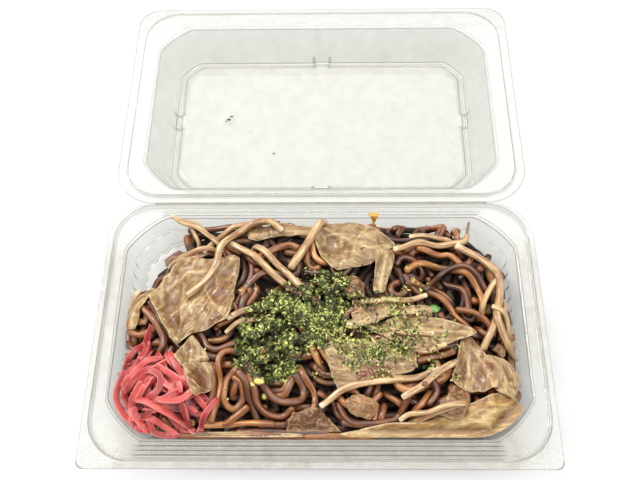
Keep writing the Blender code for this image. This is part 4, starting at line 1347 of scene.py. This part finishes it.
PORK = [
    # outline, thickness, dome, hue from grey-brown 0 to pink-brown 1
    ([(-10, -40), (1, -39), (9, -47), (-2, -48), (-14, -47.5)], 1.8, 0.5, 0.0),
    ([(11, -36), (18, -33), (26, -37), (21, -42), (14, -42)], 1.6, 0.4, 0.75),
    ([(48, -41), (57, -29), (63, -36), (60, -42), (54, -43)], 1.4, 0.3, 0.45),
    ([(10, 17), (14, 21), (20, 19), (20, 13), (14, 12)], 2.2, 1.0, 0.3),
    ([(-76, 40), (-70, 46), (-65, 42), (-66, 36), (-73, 35)], 2.4, 1.8, 0.0),
    ([(75, -12), (78, -8), (82, -12), (79, -15)], 2.0, 1.0, 0.3),
]
SPROUTS = [
    # route, radius, tail length
    ([(-18, 46), (-27, 51), (-38, 46), (-45, 35), (-47, 26), (-52, 18), (-59, 12)], 1.6, 0),
    ([(-70, 57), (-66, 53), (-58, 50), (-51, 42), (-44, 34)], 1.2, 9),
    ([(-64, 55), (-58, 44), (-55, 32)], 1.0, 8),
    ([(-71, 32), (-60, 33), (-48, 35)], 1.3, 0),
    ([(-41, 39), (-30, 31), (-16, 18)], 1.6, 0),
    ([(-31, 39), (-17, 26), (-6, 14)], 1.6, 0),
    ([(2, 53), (-6, 38), (-13, 26)], 1.9, 0),
    ([(-40, 1), (-31, 5), (-22, 7)], 1.5, 0),
    ([(34, 34), (45, 38), (58, 39), (66, 40), (69, 45), (71, 54)], 1.5, 14),
    ([(42, 43), (52, 44), (62, 42)], 1.2, 0),
    ([(62.6, 37), (73.5, 32), (80, 24), (80.5, 13.5), (77.6, 2), (80.5, -7), (85.5, -15)],
     1.7, 5),
    ([(82, 24), (77, 17), (72.8, 9), (71, 3)], 1.3, 4),
    ([(80.5, 9), (76, -2), (71, -12)], 1.6, 0),
    ([(1, -38), (11, -31), (23, -28), (40, -26), (51, -22)], 1.5, 0),
    ([(35, -35), (42, -31), (51, -24), (60, -18)], 1.5, 5),
    ([(35, -45), (44, -42), (60, -37)], 1.6, 0),
    ([(76, 6), (82, 2), (84, -8)], 1.3, 4),
    # thinner ones beside these
    ([(-72, 58), (-66, 55), (-58, 52), (-49, 41), (-43, 31)], 1.0, 8),
    ([(-70, 28), (-60, 30), (-50, 34)], 1.1, 5),
    ([(47, 11), (39, 9), (28, 8), (19, 9)], 1.3, 0),
    ([(49, -7), (39, -7), (31, -5)], 1.2, 0),
    ([(54, -12), (47, -15), (40, -15)], 1.3, 4),
    ([(-41, -5), (-35, -1), (-25, 1)], 1.1, 4),
    ([(-82, 17), (-85, 12), (-87, 6)], 1.3, 4),
    ([(34, -43), (38, -41), (45, -41), (52, -39), (60, -38)], 1.2, 0),
    ([(82.5, 12), (82, 2), (84, -10)], 1.2, 5),
    ([(-53, 33), (-46, 45), (-41, 50), (-30, 51), (-19, 50)], 1.3, 6),
]


def cabbage_look():
    made = Nodes("cooked_cabbage_look")
    hue = made.attribute("hue")
    base = made.ramp(hue, [(0.0, srgb(176, 138, 76)), (0.35, srgb(164, 138, 94)),
                           (0.5, srgb(160, 128, 84)), (0.75, srgb(164, 136, 92)),
                           (1.0, srgb(138, 118, 74))])
    fibre = made.fibre(1.5, 4.0, 0.3)
    broad = made.noise(55.0, 3.0, 0.6, warp=0.6)
    patch = made.noise(130.0, 5.0, 0.65, warp=1.0)
    mottle = made.plus(made.spread(patch, 0.45, 0.66), made.spread(broad, 0.46, 0.64))
    mottle = made.times(mottle, made.times(made.attribute("stain"), 0.7))
    rough_edge = made.times(made.math("SUBTRACT", patch, 0.5), 1.6)
    spot = made.spread(made.plus(made.attribute("spot"), rough_edge), 0.45, 0.8, 0.0, 0.85)
    color = made.mix(made.plus(mottle, spot, True), base, srgb(118, 66, 32))
    fine = made.noise(520.0, 4.0, 0.7)
    color = made.tint(color, fibre, 0.5, 0.36, 0.6, srgb(112, 68, 36))
    color = made.tint(color, fibre, 0.54, 0.66, 0.7, srgb(212, 188, 136))
    color = made.tint(color, fine, 0.52, 0.66, 0.25, srgb(120, 76, 44))
    color = made.mix(made.times(made.attribute("vein"), 0.5), color, srgb(208, 184, 134))
    # Painted shade: the leaf's hollows and creases darken to brown.
    low = made.spread(made.attribute("low"), 0.0, 1.0)
    color = made.mix(made.times(low, 0.6), color, srgb(92, 52, 24))
    # Painted highlight: a pale band along the leaf's rim.
    rim = made.spread(made.attribute("rim"), 0.1, 0.5, 0.6, 0.0)
    color = made.mix(rim, color, srgb(214, 190, 148))
    made.set(Base_Color=color, Roughness=made.spread(patch, 0.3, 0.7, 0.2, 0.4),
             Subsurface_Weight=0.2, Subsurface_Scale=0.0012, Coat_Weight=0.35,
             Coat_Roughness=0.1)
    relief = made.plus(made.times(fibre, 1.6), made.noise(240.0, 3.0, 0.5))
    made.bump(relief, 0.7, 0.0011)
    return made.material


def pork_look():
    made = Nodes("fried_pork_look")
    hue = made.attribute("hue")
    base = made.ramp(hue, [(0.0, srgb(108, 70, 40)), (0.45, srgb(128, 88, 54)),
                           (0.75, srgb(152, 110, 70)), (1.0, srgb(160, 118, 80))])
    patch = made.noise(190.0, 5.0, 0.65, warp=1.0)
    fibre = made.fibre(2.4, 4.0, 0.3)
    fine = made.noise(640.0, 3.0, 0.7)
    color = made.mix(made.spread(patch, 0.46, 0.7, 0.0, 0.8), base, srgb(84, 44, 22))
    color = made.tint(color, fine, 0.52, 0.4, 0.5, srgb(196, 158, 112))
    color = made.tint(color, fibre, 0.5, 0.36, 0.5, srgb(78, 42, 22))
    # Painted highlight: a pale band along the slice's rim.
    rim = made.spread(made.attribute("rim"), 0.2, 0.7, 0.6, 0.0)
    color = made.mix(rim, color, srgb(186, 156, 112))
    made.set(Base_Color=color, Roughness=0.4, Subsurface_Weight=0.12, Subsurface_Scale=0.0012,
             Coat_Weight=0.15, Coat_Roughness=0.2)
    made.bump(made.plus(patch, fibre), 0.7, 0.001)
    return made.material


def sprout_look():
    made = Nodes("bean_sprout_look")
    streak = made.fibre(1.5, 4.0)
    broad = made.noise(70.0, 2.0)
    shade = made.plus(made.times(streak, 0.8), made.times(broad, 0.2))
    color = made.ramp(shade, [(0.34, srgb(118, 78, 44)), (0.45, srgb(156, 118, 78)),
                              (0.55, srgb(184, 152, 108)), (0.66, srgb(212, 188, 146))])
    color = made.mix(made.times(made.attribute("tail"), 0.8), color, srgb(84, 48, 24))
    # Painted highlight with the cut's own paler colour: the sprout's first end turns pale.
    color = made.mix(made.attribute("tip"), color, srgb(226, 206, 166))
    made.set(Base_Color=color, Roughness=0.24, Subsurface_Weight=0.2, Subsurface_Scale=0.0012,
             Coat_Weight=0.3, Coat_Roughness=0.1)
    made.bump(streak, 0.4, 0.0005)
    return made.material


FRONT_LEAVES = (7, 14)      # these lie against the front wall
BACK_LEDGE_Y = 52.0         # sprouts that reach further back hang over the ledge


def add_cabbage(heap, numbers, pile):
    for number in numbers:
        points, veins, spots, hue, stain, thick, curl = CABBAGE[number]
        margin = -2.8 if number in FRONT_LEAVES else -0.4
        lay_slab(heap, pile, points, 40 + number * 7, thick * 0.7, 40, 1.2, 9.0, curl, veins,
                 spots=spots, ragged=0.4, margin=margin, hue=hue, stain=stain)


def add_sprout(heap, pile, points, radius, tail):
    margin = -6.0 if max(y for _, y in points) > BACK_LEDGE_Y else 1.2
    route = push_inside(smooth_route(points, 1.0), margin, 1.0)
    line = heap.lay(route, radius, 40)
    s = np.arange(len(line)) * 1.0
    back = s[-1] - s
    thin = np.clip(back / tail, 0, 1) if tail else np.ones(len(s))
    wide = radius * (0.3 + 0.7 * thin ** 0.8) * (0.9 + 0.1 * np.clip(s / 8, 0, 1))
    wide *= 1 + 0.04 * np.sin(s / 3.1 + len(s))
    heap.add(line, radius * 0.9)
    sides = 12
    verts, quads, caps, marks = tube(line, wide, wide * 0.9, sides, 2.1, close=0.75)
    rows = np.concatenate([[0], np.arange(len(s)), [len(s) - 1]])
    rows = np.concatenate([np.repeat(rows, sides), [0, len(s) - 1]])
    # How near the first, cut end: pale there, partly a painted highlight.
    tip = np.exp(-s / 1.4)
    pile.add(verts, quads, caps, tail=(1 - thin)[rows], tip=tip[rows] * 0.8, **marks)


def add_toppings(heap):
    cabbage, pork, sprouts = Pile(), Pile(), Pile()

    def meat(*numbers):
        for k in numbers:
            points, thick, dome, hue = PORK[k]
            lay_slab(heap, pork, points, 300 + k * 5, thick, 20, 0.9, 4.0, 0.3, dome=dome,
                     ragged=0.9, spacing=0.8, hue=hue)

    def shoots(*numbers):
        for k in numbers:
            add_sprout(heap, sprouts, *SPROUTS[k])

    add_cabbage(heap, (14, 7, 8, 13, 9, 10), cabbage)
    meat(0, 1, 4, 5, 2)
    shoots(9, 18, 2, 12, 11, 7, 22, 23, 25)
    add_cabbage(heap, (6, 5, 3, 4, 11, 12, 1, 0, 2), cabbage)
    meat(3)
    shoots(19, 20, 21, 4, 5, 6, 26, 17, 1, 3, 0, 8, 10, 15, 24, 13, 14, 16)
    cabbage.make("cabbage_leaves", cabbage_look(), CABBAGE_NODES, "cooked_cabbage")
    pork.make("pork_slices", pork_look(), [f"pork_{k}" for k in range(1, 7)], "fried_pork")
    sprouts.make("sprouts", sprout_look(), [f"bean_sprout_{k:02d}" for k in range(1, 18)],
                 "bean_sprout")


# ---------------------------------------------------------------- green seaweed flakes

FLAKE_POINTS = 5
GREEN_PATCH = [(-36, -5), (-34, -1), (-23, 14), (-4, 18), (0, 26), (12, 21), (13, 8), (5, -7),
               (-5, -13), (-13, -24), (-27, -26), (-35, -20)]


def flake_look():
    made = Nodes("aonori_look")
    tone = made.attribute("tone")
    color = made.ramp(tone, [(0.0, srgb(11, 15, 5)), (0.35, srgb(40, 50, 14)),
                             (0.65, srgb(90, 101, 32)), (1.0, srgb(202, 204, 116))])
    made.set(Base_Color=color, Roughness=0.6)
    return made.material


def scatter_flakes(rng, heap, pile, places, low, high, tone_shift):
    """Crumpled flakes at the given places, each a fan of small faces round a peak."""
    count, points = len(places), FLAKE_POINTS
    size = rng.uniform(low, high, (count, 1))
    angle = rng.uniform(0, 7, (count, 1)) + np.arange(points) * 2 * np.pi / points
    angle = angle + rng.normal(0, 0.25, (count, points))
    reach = size * rng.uniform(0.5, 1.0, (count, points))
    long, wide = rng.uniform(1.0, 1.7, (count, 1)), rng.uniform(0.35, 0.9, (count, 1))
    turn = rng.uniform(0, np.pi, (count, 1))
    a, b = np.cos(angle) * reach * long, np.sin(angle) * reach * wide
    flat = np.stack([a * np.cos(turn) - b * np.sin(turn), a * np.sin(turn) + b * np.cos(turn)],
                    axis=2)
    lean = rng.normal(0, 0.65, (count, 2))
    base = heap.at(places) + rng.uniform(0.1, 0.5, count)
    z = (flat * lean[:, None]).sum(axis=2) + rng.normal(0, 0.3, (count, points)) * size
    outer = np.concatenate([flat + places[:, None], (z + base[:, None])[..., None]], axis=2)
    peak = np.column_stack([places, base + rng.uniform(0.1, 0.5, count) * size[:, 0]])
    verts = np.concatenate([outer, peak[:, None]], axis=1).reshape(-1, 3)
    k = np.arange(points)
    fan = np.stack([k, (k + 1) % points, np.full(points, points)], axis=1)
    tris = (fan + (points + 1) * np.arange(count)[:, None, None]).reshape(-1, 3)
    patchy = random_field(places[:, 0], places[:, 1], 6.0, 77)
    tone = np.clip(rng.normal(0.5, 0.3, count) + 0.25 * patchy + tone_shift, 0, 1)
    pile.add(verts, np.zeros((0, 4)), tris, tone=np.repeat(tone, points + 1))
    heap.add(np.column_stack([places, base + 0.1]), 0.6, round_top=False)


def add_flakes(heap):
    rng = np.random.RandomState(3)
    edge = smooth_route(GREEN_PATCH, 1.5, closed=True)
    loop = np.vstack([edge, edge[:1]])
    pile = Pile()
    for _ in range(4):
        places = rng.uniform((-40, -30), (18, 30), (2900, 2))
        x, y = places[:, 0], places[:, 1]
        depth = distance_to_line(places, loop) * np.where(inside_outline(x, y, edge), 1, -1)
        patchy = random_field(x, y, 6.0, 77)
        keep = depth + 2.0 * patchy + rng.normal(0, 1.2, len(places)) > 0.5
        thin = random_field(x, y, 3.2, 79)
        keep &= (patchy + 0.6 * thin > -0.35) | (rng.uniform(0, 1, len(places)) < 0.25)
        scatter_flakes(rng, heap, pile, places[keep], 0.45, 1.3, 0.0)
    places = rng.normal((18, -4), (25, 15), (5200, 2))
    x, y = places[:, 0], places[:, 1]
    clump = random_field(x, y, 7.0, 78) + 0.5 * random_field(x, y, 3.0, 80)
    keep = (x > -40) & (x < 60) & (y > -27) & (y < 30)
    keep &= clump + rng.normal(0, 0.25, len(places)) > 0.3
    scatter_flakes(rng, heap, pile, places[keep], 0.35, 1.0, 0.12)
    places = rng.normal((19, -11), (11, 5), (1500, 2))
    keep = random_field(places[:, 0], places[:, 1], 5.0, 81) > -0.2
    scatter_flakes(rng, heap, pile, places[keep], 0.35, 0.9, 0.15)
    places = rng.normal((0, -4), (34, 20), (500, 2))
    keep = wall_distance(places[:, 0], places[:, 1]) < -8
    scatter_flakes(rng, heap, pile, places[keep], 0.3, 0.7, 0.0)
    pile.make("aonori_flakes", flake_look(), smooth=False)


CRUMBS = [
    # place, size, squash, tone: 0 brown, 0.33 red brown, 0.66 yellow, 1 green
    ((-25, -29), 1.7, 0.8, 0.66), ((-23, -33), 1.2, 0.9, 0.66), ((-27.5, -30), 0.9, 0.9, 0.66),
    ((19, -24), 1.6, 0.5, 0.33), ((22, -23), 1.4, 0.5, 0.33), ((17, -26), 1.1, 0.5, 0.33),
    ((24.5, -25), 0.9, 0.6, 0.3), ((51, 7), 2.2, 0.4, 1.0), ((53, 9), 1.5, 0.4, 1.0),
    ((82, -33), 2.0, 0.6, 0.1), ((44, -30), 1.2, 0.6, 0.1), ((-44, -4), 1.0, 0.7, 0.1),
]


def crumb_look():
    made = Nodes("crumb_look")
    patch = made.noise(500.0, 3.0)
    color = made.ramp(made.attribute("tone"), [
        (0.0, srgb(92, 56, 30)), (0.33, srgb(128, 62, 40)), (0.66, srgb(214, 196, 110)),
        (1.0, srgb(96, 158, 66))])
    color = made.tint(color, patch, 0.45, 0.7, 0.6, srgb(70, 40, 20))
    made.set(Base_Color=color, Roughness=0.3, Coat_Weight=0.3, Subsurface_Weight=0.1,
             Subsurface_Scale=0.001)
    made.bump(patch, 0.4, 0.0005)
    return made.material


def uneven_ball(seed, rough):
    """A small uneven ball: its vertices and faces."""
    rows, around = 9, 12
    tilt = np.linspace(0.12, np.pi - 0.12, rows)[:, None]
    turn = (2 * np.pi * np.arange(around) / around)[None]
    ball = np.stack([np.sin(tilt) * np.cos(turn), np.sin(tilt) * np.sin(turn),
                     np.cos(tilt) + 0 * turn], axis=-1).reshape(-1, 3)
    ball = np.vstack([ball, (0, 0, 1), (0, 0, -1)])
    swell = 1 + rough * random_field(ball[:, 0] + ball[:, 2] * 0.7, ball[:, 1], 0.7, seed)
    sides = grid_faces(rows, around, flip=True)
    return ball * swell[:, None], sides, end_caps(rows, around, flip=True)


def add_crumbs(heap):
    """Single small bits: an uneven ball each."""
    pile = Pile()
    for number, (place, size, squash, tone) in enumerate(CRUMBS):
        ball, quads, caps = uneven_ball(number, 0.3)
        verts = ball * size * (1.25, 0.85, squash)
        angle = number * 1.3
        turned = np.column_stack([
            verts[:, 0] * math.cos(angle) - verts[:, 1] * math.sin(angle),
            verts[:, 0] * math.sin(angle) + verts[:, 1] * math.cos(angle), verts[:, 2]])
        room = lid_room(*place, size) - 1.3 * size * squash
        base = min(heap.at(np.array([place], dtype=float))[0] + size * squash * 0.5, room)
        pile.add(turned + (*place, base), quads, caps, tone=tone)
    pile.make("crumbs", crumb_look())


DRIP = [(23.0, 58.6), (26.0, 58.9), (28.4, 58.2), (27.0, 56.4), (25.6, 54.9), (24.6, 56.4)]
LID_SPECKS = [
    # place on the lid's panel and size
    ((-50, 126), 0.75), ((-48.6, 128), 0.55), ((-51.4, 125), 0.4), ((-25, 104), 0.5),
    ((-38, 118), 0.3), ((35, 168), 0.3), ((69, 155), 0.3),
]


def add_drip():
    """A drip of sauce that has dried on the back ledge."""
    made = Nodes("sauce_drip_look")
    patch = made.noise(420.0, 3.0)
    color = made.mix(made.spread(patch, 0.4, 0.65), srgb(206, 148, 34), srgb(150, 88, 20))
    made.set(Base_Color=color, Roughness=0.2, Coat_Weight=0.4, Coat_Roughness=0.1)
    shape = smooth_route(DRIP, 0.35, closed=True)
    xy, tris, loop = flat_mesh(shape, 0.35, 4)
    rim = distance_to_line(xy, loop)
    rest = Heap().at(xy)
    swell = np.minimum(0.12 + 0.35 * np.sqrt(rim), 0.55)
    verts, sides, faces = thin_solid(xy, tris, rest - 0.1 + swell / 2, swell / 2)
    pile = Pile()
    pile.add(verts, sides, faces)
    pile.make("sauce_drip", made.material)


def add_lid_specks():
    """Dark specks of dirt on the inner side of the lid's panel."""
    made = Nodes("speck_look")
    made.set(Base_Color=(*srgb(58, 54, 44), 1.0), Roughness=0.6)
    pile = Pile()
    for number, (place, size) in enumerate(LID_SPECKS):
        ball, quads, caps = uneven_ball(number + 40, 0.25)
        pile.add(ball * size * (1.3, 0.8, 0.5) + (*place, 2.1 + size * 0.4), quads, caps)
    pile.make("lid_specks", made.material, body="lid")


def add_food():
    """All that is in the tray, laid one after the other from the floor up."""
    heap = Heap()
    target = tops_of("noodles", heap)
    add_noodles(heap, target)
    add_ginger(heap)
    add_toppings(heap)
    add_crumbs(heap)
    add_flakes(heap)


def add_floor():
    bpy.ops.mesh.primitive_plane_add(size=3.0, location=(0, 0, -0.0001))
    floor = bpy.context.object
    floor.name = "floor"
    floor.data.materials.append(floor_look())


scene = bpy.context.scene
scene.view_settings.view_transform = "Standard"
add_camera()
add_world()
add_light("overhead", (-0.05, 0.45, 1.5), (2.2, 2.2), 33.0, (-0.05, 0.45, 0.0))
add_light("key", (-0.95, 0.55, 1.1), (0.4, 0.4), 13.0)
add_light("fill", (0.95, -0.5, 1.2), (0.7, 0.7), 7.0)
add_floor()
add_pack()
add_food()
add_drip()
add_lid_specks()
